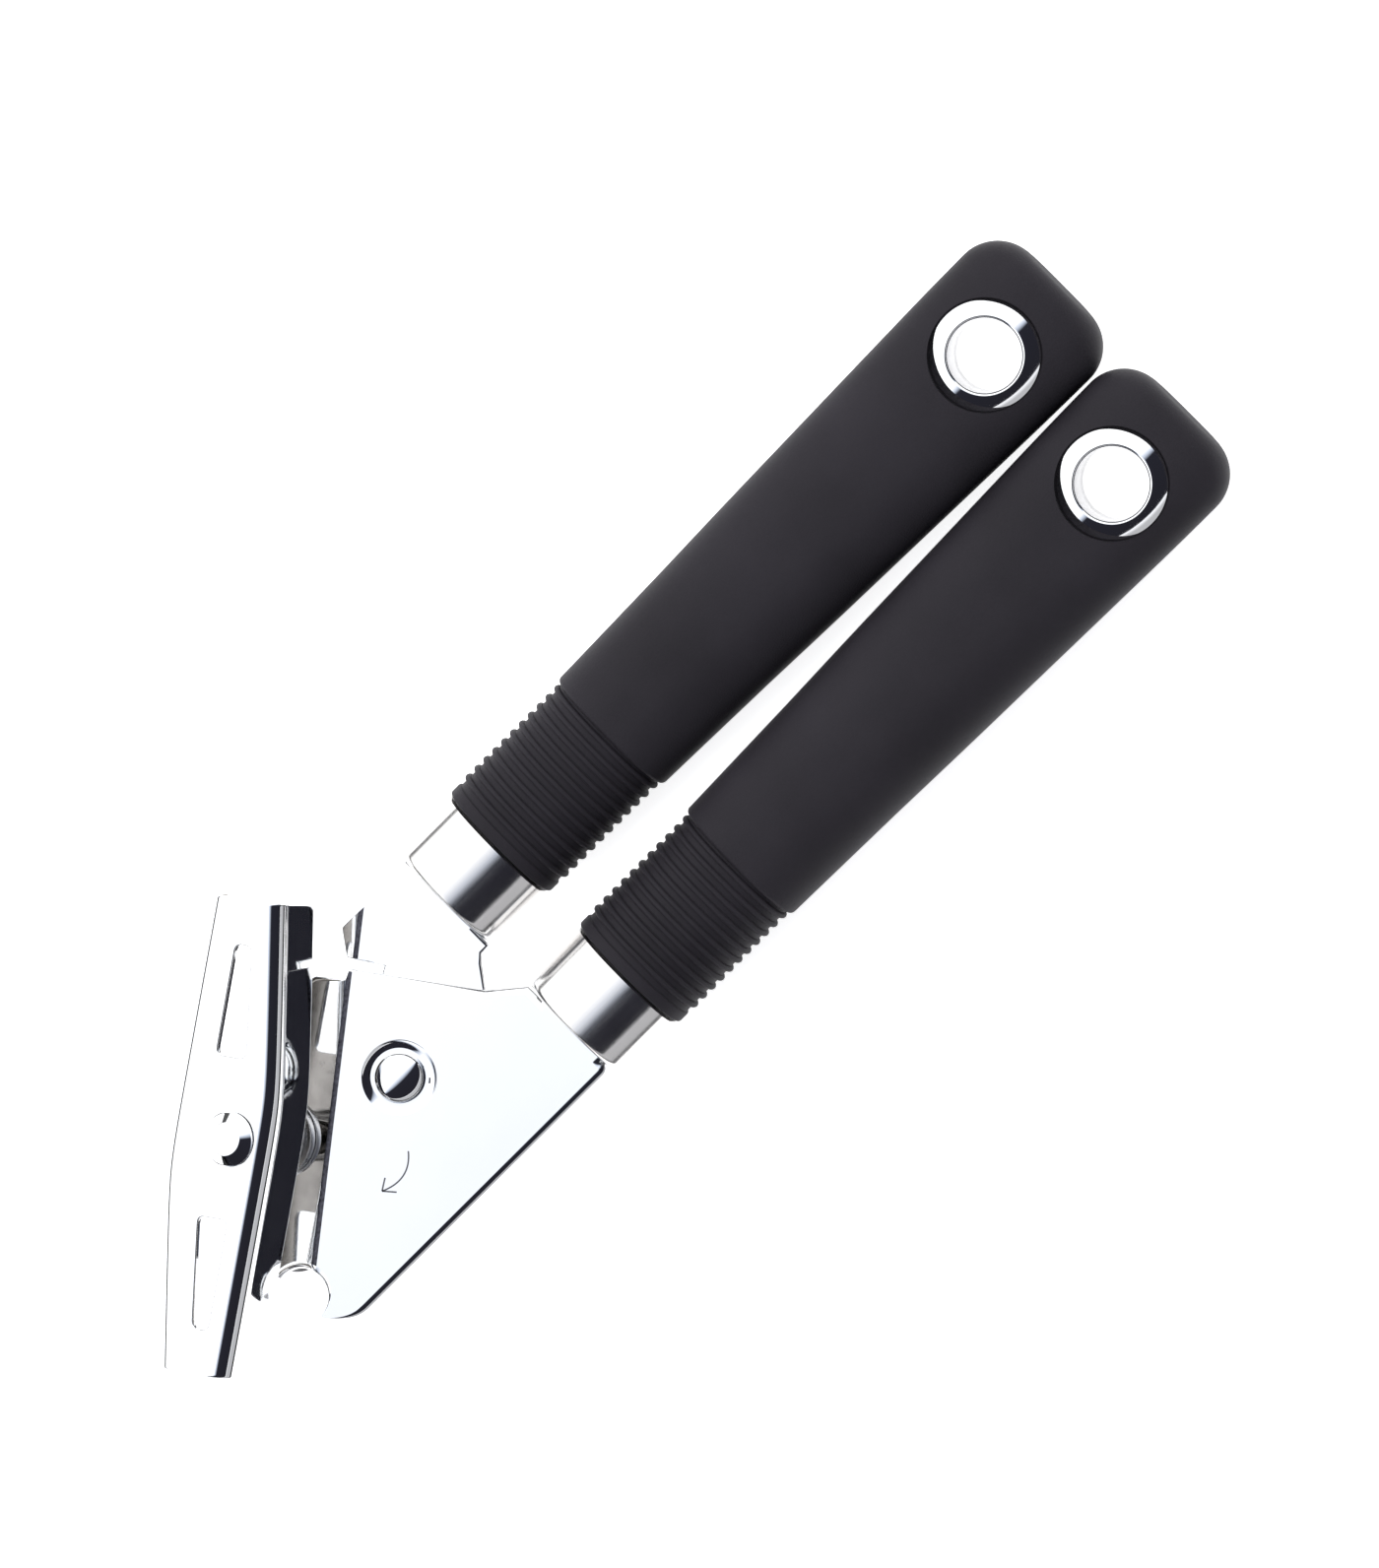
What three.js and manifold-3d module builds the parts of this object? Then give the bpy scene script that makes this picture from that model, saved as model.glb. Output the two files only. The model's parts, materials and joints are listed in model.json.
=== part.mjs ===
// Manual can opener: two levers on one pivot, a turn key with its feed wheel, and a cutting wheel.
// Millimetres, +Z up. The opener lies flat, key side up, with its handles along +X.
// While it is built, z = 0 is the top of the front plate and x = y = 0 is the pivot rivet;
// at the end the assembly is moved so that the origin is under the middle of its box.
import * as THREE from 'three';
import { mergeVertices } from 'three/addons/utils/BufferGeometryUtils.js';
import Module from 'manifold-3d';

const wasm = await Module();
wasm.setup();

// ---- Driving dimensions ----------------------------------------------------------------------

const GAP = 0.3; // left between pieces that touch
const PLATE = 1.8; // steel of both plates
const SKIN = 0.8; // steel of ferrules and eyelets
const CUT = 60; // how far a cutting tool reaches

// Head: both plates are bent down along a line beside the pivot.
const BEND_LINE_ANGLE = 38; // degrees from +X
const BEND_OFFSET = 10.2; // pivot to the front plate's bend line
const BEND_DROP = 22; // degrees that the flanges slope down
const BEND_RADIUS = 2.4; // of the outer face

// Drive: shaft square to the flange, through its bush
const DRIVE_ALONG = -12.4; // place along the bend line
const DRIVE_OUT = 8.9; // place down the flange, from the bend line
const SHAFT_R = 3;
const NECK_R = 2.4; // of the shaft, in the key's hub and in the feed wheel
const SHOULDER_R = 4.4; // under the key's hub
const BUSH_R = 5;
const BUSH_COLLAR_R = 6.6;
const FEED_R = 7.5;
const FEED_TEETH = 20;
const FEED_TOOTH = { deep: 0.9, rise: 0.28, crest: 0.6 }; // rise and crest as shares of the pitch
const FEED_TOP = 3.6; // depth of its upper face below the flange's top
const FEED_THICK = 3;
const FEED_CAP = { r: 4.3, thick: 1.4, proud: 0.7 }; // proud is the shaft's end below it
const KEY_WASHER = { r: 5.6, thick: 0.5 };

// Cutter: on a stud under the rear plate
const CUTTER_ALONG = -26.9;
const CUTTER_R = 8;
const CUTTER_THICK = 1.6;
const CUTTER_TOP = FEED_TOP + FEED_THICK + GAP;
const CUTTER_EDGE = { flat: 0.25, land: 0.5, bevel: 2.4 };
const STUD_R = 2.6;
const STUD_HEAD = { r: 4.2, thick: 1.2, chamfer: 0.6 };
const SPACER_R = 4.4;

// Turn key: a double-ended channel, open towards the flange
const KEY_HALF_LENGTH = 38.9;
const KEY_HALF_WIDTH = 10;
const KEY_END_HALF_WIDTH = 6.9;
const KEY_APEX = 5.5; // each side is widest this far from the hub, towards its square end
const KEY_APEX_BLEND = 5;
const KEY_SHEET = 1.2;
const KEY_SHOULDER = 3.5;
const KEY_DEPTH = 11.9;
const KEY_END_DEPTH = 4; // where a side is rounded off
const KEY_CORNER = 9; // length of that rounding
const KEY_HEIGHT = 16.7; // its top above the flange
const KEY_SHIFT = 2.8; // its middle line lies this far outside the shaft
const KEY_YAW = 0.45; // degrees, as it lies at rest
const KEY_SLOT = { near: 13.2, far: 31.4, y: -1.2, nearHalf: 2.7, farHalf: 1.4, corner: 1.3 };
const SHAFT_HEAD = { base: 4.7, top: 3.1, height: 1.4, edge: 0.3, round: 0.4 };

// Pivot
const RIVET_R = 3;
const RIVET_HEAD_R = 4.2;
const RIVET_DOME = 1.9;
const RIVET_RIM = 0.3; // straight edge under the dome
const RIVET_TAIL = { thick: 1.2, chamfer: 0.6 };
const RIVET_RECESS = { r: 6.1, floor: 5, depth: 0.6, rim: 0.2 }; // dished, with a low straight rim
const PIVOT_WASHER_R = 6;

// Bottle-opener notch in the front plate's nose
const NOTCH = { x: -37, y: -13.8, r: 4.56 };

// Handles
const HANDLE_Z = -2.2; // both axes, below the front plate's top
const FRONT_HANDLE = { y: -14.5, turn: 0.33 };
const REAR_HANDLE = { y: 15.6, turn: -0.05 };
const GRIP_POWER = { start: 2.3, end: 2.9 }; // of the superellipse sections
const FERRULE = { start: 26, end: 38.3, halfWidth: 11, halfThick: 8.7, round: 1.3 };
const TANG = { end: 75, halfWidth: 7.1, room: 0.8 }; // room beside it in the handle
const COLLAR = { start: 38.7, end: 40.8, halfWidth: 11.35, chamfer: 0.4 };
const RIBS = { count: 11, first: 42.5, pitch: 2.05, trough: 10.95, crest: 11.6, flatter: 2 };
const GRIP_END = 167;
const GRIP_CORNER = 7.5;
const GRIP_EDGE = 4.5;
const SLEEVE = { thick: 2.6, endThick: 4, end: 5 }; // the soft sleeve over the core
const EYELET_X = 151;
const EYELET = { outer: 9.06, bore: 6.05, seat: 7.3, cone: 1.45, lip: 0.35, foot: 0.2 };
const EYELET_BACK = { rim: 1.2, funnel: 1.1 };

// Section sides
const GRIP_SIDES = 16;
const ROUND_SIDES = 24;

// ---- Solids ----------------------------------------------------------------------------------

function solid(geometry) {
  const bare = new THREE.BufferGeometry();
  bare.setAttribute('position', geometry.getAttribute('position'));
  if (geometry.index) bare.setIndex(geometry.index);
  const merged = mergeVertices(bare, 1e-4);
  return new wasm.Manifold(
    new wasm.Mesh({
      numProp: 3,
      vertProperties: new Float32Array(merged.attributes.position.array),
      triVerts: new Uint32Array(merged.index.array),
    }),
  );
}

function geometryOf(body) {
  const mesh = body.getMesh();
  const indexed = new THREE.BufferGeometry();
  indexed.setAttribute('position', new THREE.BufferAttribute(mesh.vertProperties, 3));
  indexed.setIndex(new THREE.BufferAttribute(mesh.triVerts, 1));
  const geometry = indexed.toNonIndexed();
  geometry.computeVertexNormals();
  return geometry;
}

// A shape drawn in x and y, as a prism from low to high.
function prism(shape, low, high, curveSegments = 8) {
  const settings = { depth: high - low, bevelEnabled: false, curveSegments };
  return solid(new THREE.ExtrudeGeometry(shape, settings).translate(0, 0, low));
}

function polygon(points) {
  return new THREE.Shape(points.map(([x, y]) => new THREE.Vector2(x, y)));
}

// A body turned about z, from [radius, z] points that run up its outside.
function turned(profile, sides = ROUND_SIDES) {
  const points = profile.map(([r, z]) => new THREE.Vector2(r, z));
  return solid(new THREE.LatheGeometry(points, sides).rotateX(Math.PI / 2));
}

function disc(r, low, high, sides = ROUND_SIDES) {
  return turned([[0, low], [r, low], [r, high], [0, high]], sides);
}

function ring(inner, outer, low, high) {
  return turned([[inner, low], [outer, low], [outer, high], [inner, high], [inner, low]]);
}

// A skin through one closed outline of [y, z] points at each station along x, with flat ends.
function loft(stations, outlineAt) {
  const outlines = stations.map(outlineAt);
  const count = outlines[0].length;
  const positions = [];
  outlines.forEach((outline, i) => {
    outline.forEach(([y, z]) => positions.push(stations[i], y, z));
  });
  const index = [];
  for (let i = 0; i + 1 < stations.length; i++) {
    for (let j = 0; j < count; j++) {
      const next = (j + 1) % count;
      const a = i * count + j;
      const b = (i + 1) * count + j;
      const c = (i + 1) * count + next;
      const d = i * count + next;
      index.push(a, d, b, d, c, b);
    }
  }
  const last = (stations.length - 1) * count;
  const flat = (outline) => outline.map(([y, z]) => new THREE.Vector2(y, z));
  for (const [a, b, c] of THREE.ShapeUtils.triangulateShape(flat(outlines[0]), [])) {
    index.push(a, c, b);
  }
  for (const [a, b, c] of THREE.ShapeUtils.triangulateShape(flat(outlines.at(-1)), [])) {
    index.push(last + a, last + b, last + c);
  }
  const geometry = new THREE.BufferGeometry();
  geometry.setAttribute('position', new THREE.Float32BufferAttribute(positions, 3));
  geometry.setIndex(index);
  return solid(geometry);
}

function superellipse(halfWidth, halfThick, power, sides) {
  const outline = [];
  for (let i = 0; i < sides; i++) {
    const angle = (2 * Math.PI * i) / sides;
    const c = Math.cos(angle);
    const s = Math.sin(angle);
    outline.push([
      halfWidth * Math.sign(c) * Math.abs(c) ** (2 / power),
      halfThick * Math.sign(s) * Math.abs(s) ** (2 / power),
    ]);
  }
  return outline;
}

// ---- Head frame ------------------------------------------------------------------------------

const radians = THREE.MathUtils.degToRad;
const drop = radians(BEND_DROP);
const AXIS_Z = new THREE.Vector3(0, 0, 1);

// [along the bend line, out from the pivot] to [x, y]
function headPoint([along, out]) {
  const a = radians(BEND_LINE_ANGLE);
  return [along * Math.cos(a) - out * Math.sin(a), along * Math.sin(a) + out * Math.cos(a)];
}

// The flange's own frame: x along the bend line, y down the slope, z out of its upper face
function flangeMatrix(along, downSlope) {
  const bend = new THREE.Matrix4().makeRotationZ(radians(BEND_LINE_ANGLE));
  const slope = new THREE.Matrix4().makeRotationX(-drop).setPosition(0, BEND_OFFSET, 0);
  const place = new THREE.Matrix4().makeTranslation(along, downSlope, 0);
  return bend.multiply(slope).multiply(place);
}

function moved(body, matrix) {
  return body.transform([...matrix.elements]);
}

// A sheet bent down along the bend line, wide enough for any outline. Its flat top is at z = top.
function bentSheet(top) {
  const offset = BEND_OFFSET + top * Math.tan(drop / 2);
  const outer = BEND_RADIUS;
  const inner = BEND_RADIUS - PLATE;
  const reach = outer * Math.tan(drop / 2);
  const slope = new THREE.Vector2(Math.cos(drop), -Math.sin(drop));
  const end = new THREE.Vector2(offset, top).addScaledVector(slope, CUT / 2);
  const below = new THREE.Vector2(-Math.sin(drop), -Math.cos(drop)).multiplyScalar(PLATE);
  const section = new THREE.Shape();
  section.moveTo(-CUT, top - PLATE);
  section.lineTo(offset - reach, top - PLATE);
  section.absarc(offset - reach, top - outer, inner, Math.PI / 2, Math.PI / 2 - drop, true);
  section.lineTo(end.x + below.x, end.y + below.y);
  section.lineTo(end.x, end.y);
  section.absarc(offset - reach, top - outer, outer, Math.PI / 2 - drop, Math.PI / 2, false);
  section.lineTo(-CUT, top);
  const settings = { depth: 2 * CUT, bevelEnabled: false, curveSegments: 4 };
  const geometry = new THREE.ExtrudeGeometry(section, settings).translate(0, 0, -CUT);
  // The section's x and y become out and up, and the sheet runs along the bend line.
  geometry.rotateX(Math.PI / 2).rotateZ(Math.PI / 2).rotateZ(radians(BEND_LINE_ANGLE));
  return solid(geometry);
}

// ---- Plates ----------------------------------------------------------------------------------

function frontPlateOutline() {
  const tang = FRONT_HANDLE.y;
  const flange = [
    [16.5, 10.5],
    [15.6, 9.6],
    [14.8, 10.4],
    [14.8, 16],
    [11, 22],
    [3, 26.8],
    [-28, 26.8],
    [-36.6, 20.5],
  ].map(headPoint);
  const shape = new THREE.Shape();
  shape.moveTo(-30.4, -23.2);
  shape.lineTo(24, -23.2);
  shape.absarc(24, -21.7, 1.5, -Math.PI / 2, 0, false);
  shape.lineTo(25.5, tang - TANG.halfWidth);
  shape.lineTo(TANG.end, tang - TANG.halfWidth);
  shape.lineTo(TANG.end, tang + TANG.halfWidth);
  shape.lineTo(25.5, tang + TANG.halfWidth);
  shape.lineTo(25.5, -4.3);
  shape.lineTo(20, 0.3);
  flange.forEach(([x, y]) => shape.lineTo(x, y));
  shape.absarc(NOTCH.x, NOTCH.y, NOTCH.r, 1.73, -1.46, true);
  shape.quadraticCurveTo(-37.2, -18.6, -36.4, -19.4);
  shape.quadraticCurveTo(-33.6, -23.2, -30.4, -23.2);
  return shape;
}

function frontPlate() {
  const drive = flangeMatrix(DRIVE_ALONG, DRIVE_OUT);
  const { r, floor, depth, rim } = RIVET_RECESS;
  return prism(frontPlateOutline(), -CUT, CUT, 10)
    .intersect(bentSheet(0))
    .subtract(turned([[0, -depth], [floor, -depth], [r, -rim], [r, 1], [0, 1]], 40))
    .subtract(disc(RIVET_R + GAP, -CUT, CUT))
    .subtract(moved(disc(BUSH_R + GAP, -CUT, CUT), drive));
}

// Its edge under the front plate is set back so that it clears the front flange as the levers open.
function rearPlateOutline() {
  const tang = REAR_HANDLE.y;
  const shape = new THREE.Shape();
  shape.moveTo(25.5, tang - TANG.halfWidth);
  shape.lineTo(25.5, 4.75);
  shape.lineTo(23.7, 4.75);
  shape.lineTo(22.5, 3.65);
  shape.lineTo(20, 0.2);
  shape.lineTo(16.5, -4.6);
  shape.quadraticCurveTo(10, -10, 0, -10);
  shape.quadraticCurveTo(-12, -10.5, -25.5, -14.8);
  const hidden = [
    [-32.3, 5.5],
    [-32.3, 22.5],
    [-30.3, 24.6],
    [-23.4, 24.6],
    [-21.4, 22.5],
    [-21.4, 8.7],
    [-2, 8.7],
    [17.4, 5.1],
    [17.9, 11.4],
    [22.8, 13.1],
  ].map(headPoint);
  hidden.forEach(([x, y]) => shape.lineTo(x, y));
  shape.lineTo(10, 24.4);
  shape.lineTo(25.5, 24.4);
  shape.lineTo(25.5, tang + TANG.halfWidth);
  shape.lineTo(TANG.end, tang + TANG.halfWidth);
  shape.lineTo(TANG.end, tang - TANG.halfWidth);
  return shape;
}

function rearPlate() {
  const stud = flangeMatrix(CUTTER_ALONG, DRIVE_OUT);
  return prism(rearPlateOutline(), -CUT, CUT)
    .intersect(bentSheet(-PLATE - GAP))
    .subtract(disc(RIVET_R + GAP, -CUT, CUT))
    .subtract(moved(disc(STUD_R + GAP, -CUT, CUT, 24), stud));
}

// ---- Pivot -----------------------------------------------------------------------------------

const REAR_UNDERSIDE = -2 * PLATE - GAP;
const PIVOT_WASHER = { top: REAR_UNDERSIDE - GAP, thick: 0.7 };

function pivotRivet() {
  const seat = -RIVET_RECESS.depth + GAP;
  const tail = PIVOT_WASHER.top - PIVOT_WASHER.thick - GAP;
  const foot = tail - RIVET_TAIL.thick;
  const profile = [[0, foot], [RIVET_HEAD_R - RIVET_TAIL.chamfer, foot], [RIVET_HEAD_R, tail]];
  profile.push([RIVET_R, tail], [RIVET_R, seat], [RIVET_HEAD_R, seat]);
  const steps = 4;
  for (let i = 0; i <= steps; i++) {
    const angle = (Math.PI / 2) * (i / steps);
    const r = i === steps ? 0 : RIVET_HEAD_R * Math.cos(angle);
    profile.push([r, seat + RIVET_RIM + RIVET_DOME * Math.sin(angle)]);
  }
  return turned(profile);
}

function pivotWasher() {
  const { top, thick } = PIVOT_WASHER;
  return ring(RIVET_R + GAP, PIVOT_WASHER_R, top - thick, top);
}

// ---- Drive, in the flange's frame with z = 0 at its upper face --------------------------------

const BUSH_COLLAR_TOP = GAP + 1.4;
const FEED_BOTTOM = -FEED_TOP - FEED_THICK;
const FEED_STEP = 0.05; // the shaft's step just clears the feed wheel
const WASHER_GAP = 0.2;

function driveBush() {
  const low = -FEED_TOP + GAP;
  return turned([
    [SHAFT_R + GAP, low],
    [BUSH_R, low],
    [BUSH_R, GAP],
    [BUSH_COLLAR_R, GAP],
    [BUSH_COLLAR_R, BUSH_COLLAR_TOP],
    [SHAFT_R + GAP, BUSH_COLLAR_TOP],
    [SHAFT_R + GAP, low],
  ]);
}

// The shaft's shoulder carries the key, and its head is peened over the key's hub.
function driveShaft() {
  const { base, top, height, edge, round } = SHAFT_HEAD;
  const shoulder = KEY_HEIGHT - KEY_SHEET - GAP;
  const foot = FEED_BOTTOM - GAP - FEED_CAP.thick - FEED_CAP.proud;
  const step = -FEED_TOP + FEED_STEP;
  const collar = BUSH_COLLAR_TOP + 2 * WASHER_GAP + KEY_WASHER.thick;
  const head = KEY_HEIGHT + GAP;
  return turned([
    [0, foot],
    [NECK_R, foot],
    [NECK_R, step],
    [SHAFT_R, step],
    [SHAFT_R, collar],
    [SHOULDER_R, collar + 0.6],
    [SHOULDER_R, shoulder],
    [NECK_R, shoulder],
    [NECK_R, head],
    [base, head],
    [base, head + edge],
    [top + round, head + height - round],
    [top - round, head + height],
    [0, head + height],
  ]);
}

function keyWasher() {
  const low = BUSH_COLLAR_TOP + WASHER_GAP;
  return ring(SHAFT_R + GAP, KEY_WASHER.r, low, low + KEY_WASHER.thick);
}

function feedWheel() {
  const { deep, rise, crest } = FEED_TOOTH;
  const points = [];
  for (let i = 0; i < FEED_TEETH; i++) {
    for (const [shift, r] of [[0, FEED_R - deep], [rise, FEED_R], [crest, FEED_R]]) {
      const angle = (2 * Math.PI * (i + shift)) / FEED_TEETH;
      points.push([r * Math.cos(angle), r * Math.sin(angle)]);
    }
  }
  const bore = disc(NECK_R + GAP, -CUT, CUT);
  return prism(polygon(points), FEED_BOTTOM, -FEED_TOP - GAP + FEED_STEP).subtract(bore);
}

function feedWheelCap() {
  const top = FEED_BOTTOM - GAP;
  return ring(NECK_R + WASHER_GAP, FEED_CAP.r, top - FEED_CAP.thick, top);
}

// ---- Turn key, with x along the key, z = 0 at its top ----------------------------------------

// Half-width of the side whose square end is at +x
function keyHalfWidth(x) {
  const away = Math.hypot(x - KEY_APEX, KEY_APEX_BLEND) - KEY_APEX_BLEND;
  const most = KEY_HALF_LENGTH - Math.sign(x - KEY_APEX) * KEY_APEX;
  const far = Math.hypot(most, KEY_APEX_BLEND) - KEY_APEX_BLEND;
  return KEY_HALF_WIDTH - (KEY_HALF_WIDTH - KEY_END_HALF_WIDTH) * (away / far);
}

// Depth of the same side, which is rounded off towards -x
function keyDepth(x) {
  const past = Math.max(0, KEY_CORNER - KEY_HALF_LENGTH - x) / KEY_CORNER;
  const round = Math.sqrt(Math.max(0, 1 - past ** 2));
  return THREE.MathUtils.lerp(KEY_END_DEPTH, KEY_DEPTH, round);
}

const KEY_BEND_STEPS = 3;

// One side of the section, from its free edge up and over its shoulder, at a distance inside the skin
function keySide(side, halfWidth, depth, inset) {
  const points = [[side * (halfWidth - inset), -depth]];
  const centre = halfWidth - KEY_SHOULDER;
  const r = KEY_SHOULDER - inset;
  for (let i = 0; i <= KEY_BEND_STEPS; i++) {
    const angle = (Math.PI / 2) * (i / KEY_BEND_STEPS);
    points.push([side * (centre + r * Math.cos(angle)), -KEY_SHOULDER + r * Math.sin(angle)]);
  }
  return points;
}

function keyOutline(x) {
  const near = [-1, keyHalfWidth(x), keyDepth(x)];
  const far = [1, keyHalfWidth(-x), keyDepth(-x)];
  return [
    ...keySide(...far, 0),
    ...keySide(...near, 0).toReversed(),
    ...keySide(...near, KEY_SHEET),
    ...keySide(...far, KEY_SHEET).toReversed(),
  ];
}

function keySlot(side) {
  const { near, far, nearHalf, farHalf, corner } = KEY_SLOT;
  const corners = [[near, -nearHalf], [far, -farHalf], [far, farHalf], [near, nearHalf]];
  const shape = new THREE.Shape();
  corners.forEach(([x, y], i) => {
    const before = new THREE.Vector2(...corners.at(i - 1));
    const after = new THREE.Vector2(...corners[(i + 1) % corners.length]);
    const here = new THREE.Vector2(x, y);
    const enter = before.sub(here).setLength(corner).add(here);
    const leave = after.sub(here).setLength(corner).add(here);
    if (i === 0) shape.moveTo(enter.x, enter.y);
    else shape.lineTo(enter.x, enter.y);
    shape.quadraticCurveTo(x, y, leave.x, leave.y);
  });
  const slot = prism(shape, -3, 3, 4);
  return (side > 0 ? slot : slot.rotate([0, 0, 180])).translate([0, KEY_SLOT.y, 0]);
}

function turnKey() {
  const stations = [];
  const steps = 20;
  for (let i = 0; i <= steps; i++) {
    // Closer together at the ends, where the corners are round, and at the hub
    const u = (2 * i) / steps - 1;
    stations.push(KEY_HALF_LENGTH * (u - 0.09 * Math.sin(2 * Math.PI * u)));
  }
  return loft(stations, keyOutline)
    .subtract(keySlot(1))
    .subtract(keySlot(-1))
    .subtract(disc(NECK_R + GAP, -3, 3).translate([0, -KEY_SHIFT, 0]));
}

// ---- Cutter, in the same frame ---------------------------------------------------------------

const REAR_FLANGE_TOP = -PLATE - GAP;
const REAR_FLANGE_BOTTOM = REAR_FLANGE_TOP - PLATE;
const CUTTER_BOTTOM = -CUTTER_TOP - CUTTER_THICK;

// A shouldered stud, peened into the rear plate's flange. Its large head holds the cutting wheel.
function cutterStud() {
  const { r, thick, chamfer } = STUD_HEAD;
  const top = CUTTER_BOTTOM - GAP;
  return turned([
    [0, top - thick],
    [r - chamfer, top - thick],
    [r, top - thick + chamfer],
    [r, top],
    [STUD_R, top],
    [STUD_R, REAR_FLANGE_TOP - 0.1],
    [0, REAR_FLANGE_TOP - 0.1],
  ], 24);
}

function cutterSpacer() {
  return ring(STUD_R + GAP, SPACER_R, -CUTTER_TOP + GAP, REAR_FLANGE_BOTTOM - GAP);
}

function cuttingWheel() {
  const { flat, land, bevel } = CUTTER_EDGE;
  return turned([
    [STUD_R + GAP, CUTTER_BOTTOM],
    [CUTTER_R - land, CUTTER_BOTTOM],
    [CUTTER_R, CUTTER_BOTTOM + flat],
    [CUTTER_R - bevel, -CUTTER_TOP],
    [STUD_R + GAP, -CUTTER_TOP],
    [STUD_R + GAP, CUTTER_BOTTOM],
  ], 40);
}

// ---- Handles, in each handle's own frame: x along it, z = 0 on its axis ------------------------

const gripWidth = new THREE.SplineCurve(
  [[38, 11.5], [65, 12], [88, 12.55], [104, 13.05], [120, 13.45], [136, 13.85], [152, 14.2], [167, 14.3]]
    .map(([x, w]) => new THREE.Vector2(x, w)),
);
const gripThick = new THREE.SplineCurve(
  [[38, 9.5], [65, 10.2], [88, 10.9], [104, 10.8], [120, 10.3], [136, 9.5], [152, 8.7], [167, 8.2]]
    .map(([x, t]) => new THREE.Vector2(x, t)),
);

function heightAt(curve, x) {
  let low = 0;
  let high = 1;
  for (let i = 0; i < 30; i++) {
    const middle = (low + high) / 2;
    if (curve.getPoint(middle).x < x) low = middle;
    else high = middle;
  }
  return curve.getPoint((low + high) / 2).y;
}

// What a round corner of radius r takes off a half-width, near the handle's end
function endRounding(x, r) {
  const past = Math.max(0, x - (GRIP_END - r));
  return r - Math.sqrt(Math.max(0, r * r - past * past));
}

// The grip's section at x, offset inwards by inset
function gripSection(x, inset = 0) {
  let halfWidth = heightAt(gripWidth, x);
  let halfThick = heightAt(gripThick, x);
  if (inset === 0) {
    halfWidth -= endRounding(x, GRIP_CORNER);
    halfThick -= endRounding(x, GRIP_EDGE);
  }
  const { start, end } = GRIP_POWER;
  const power = THREE.MathUtils.mapLinear(x, FERRULE.end, GRIP_END, start, end);
  return superellipse(halfWidth - inset, halfThick - inset, power, GRIP_SIDES);
}

function ribbedSection(halfWidth) {
  return superellipse(halfWidth, halfWidth - RIBS.flatter, GRIP_POWER.start, GRIP_SIDES);
}

function gripSkin() {
  const sections = new Map();
  sections.set(COLLAR.start, ribbedSection(COLLAR.halfWidth - COLLAR.chamfer));
  sections.set(COLLAR.start + COLLAR.chamfer, ribbedSection(COLLAR.halfWidth));
  sections.set(COLLAR.end, ribbedSection(COLLAR.halfWidth));
  for (let i = 0; i < RIBS.count; i++) {
    const crest = RIBS.first + i * RIBS.pitch;
    sections.set(crest - RIBS.pitch / 2, ribbedSection(RIBS.trough));
    sections.set(crest, ribbedSection(RIBS.crest));
  }
  const smooth = RIBS.first + (RIBS.count - 0.4) * RIBS.pitch;
  sections.set(smooth, gripSection(smooth));
  for (let x = 76; x < GRIP_END - GRIP_CORNER; x += 14) {
    sections.set(x, gripSection(x));
  }
  for (let i = 0; i <= 5; i++) {
    const x = GRIP_END - GRIP_CORNER + GRIP_CORNER * Math.sin((Math.PI / 2) * (i / 5));
    sections.set(x, gripSection(x));
  }
  const stations = [...sections.keys()];
  return loft(stations, (x) => sections.get(x));
}

// The space inside the sleeve. The core fills it, apart from a gap.
const CORE_STATIONS = [FERRULE.end - 0.4, 66, 94, 122, 150, GRIP_END - SLEEVE.end];

function sleeveSpace(gap) {
  const stations = CORE_STATIONS.map((x, i) => {
    if (i === 0) return x - (gap ? 0 : 2);
    return i === CORE_STATIONS.length - 1 ? x - gap : x;
  });
  const thickAt = (x) => (x > 158 ? SLEEVE.endThick : SLEEVE.thick);
  return loft(stations, (x) => gripSection(x, thickAt(x) + gap));
}

function eyeletBore(r) {
  return disc(r, -CUT, CUT).translate([EYELET_X, 0, 0]);
}

function grip() {
  const seat = disc(EYELET.outer + GAP, EYELET.seat, CUT).translate([EYELET_X, 0, 0]);
  return gripSkin()
    .subtract(sleeveSpace(0))
    .subtract(eyeletBore(EYELET.bore + SKIN + GAP))
    .subtract(seat)
    .subtract(seat.rotate([180, 0, 0]));
}

// Half-depth of the slot that takes the plate's tang, and its middle in the handle's frame
const SLOT_HALF = PLATE / 2 + GAP;

function tangSlot(middle, start, end, halfWidth) {
  const shape = polygon([[start, -halfWidth], [end, -halfWidth], [end, halfWidth], [start, halfWidth]]);
  return prism(shape, middle - SLOT_HALF, middle + SLOT_HALF);
}

function core(plateMiddle) {
  const inside = { w: FERRULE.halfWidth - SKIN - GAP, t: FERRULE.halfThick - SKIN - GAP };
  const spigot = loft([FERRULE.start + SKIN + GAP, FERRULE.end + 0.1], () =>
    superellipse(inside.w, inside.t, GRIP_POWER.start, GRIP_SIDES));
  return sleeveSpace(GAP)
    .add(spigot)
    .subtract(tangSlot(plateMiddle, 0, TANG.end + 1, TANG.halfWidth + TANG.room))
    .subtract(eyeletBore(EYELET.bore + SKIN + 2 * GAP));
}

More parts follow.
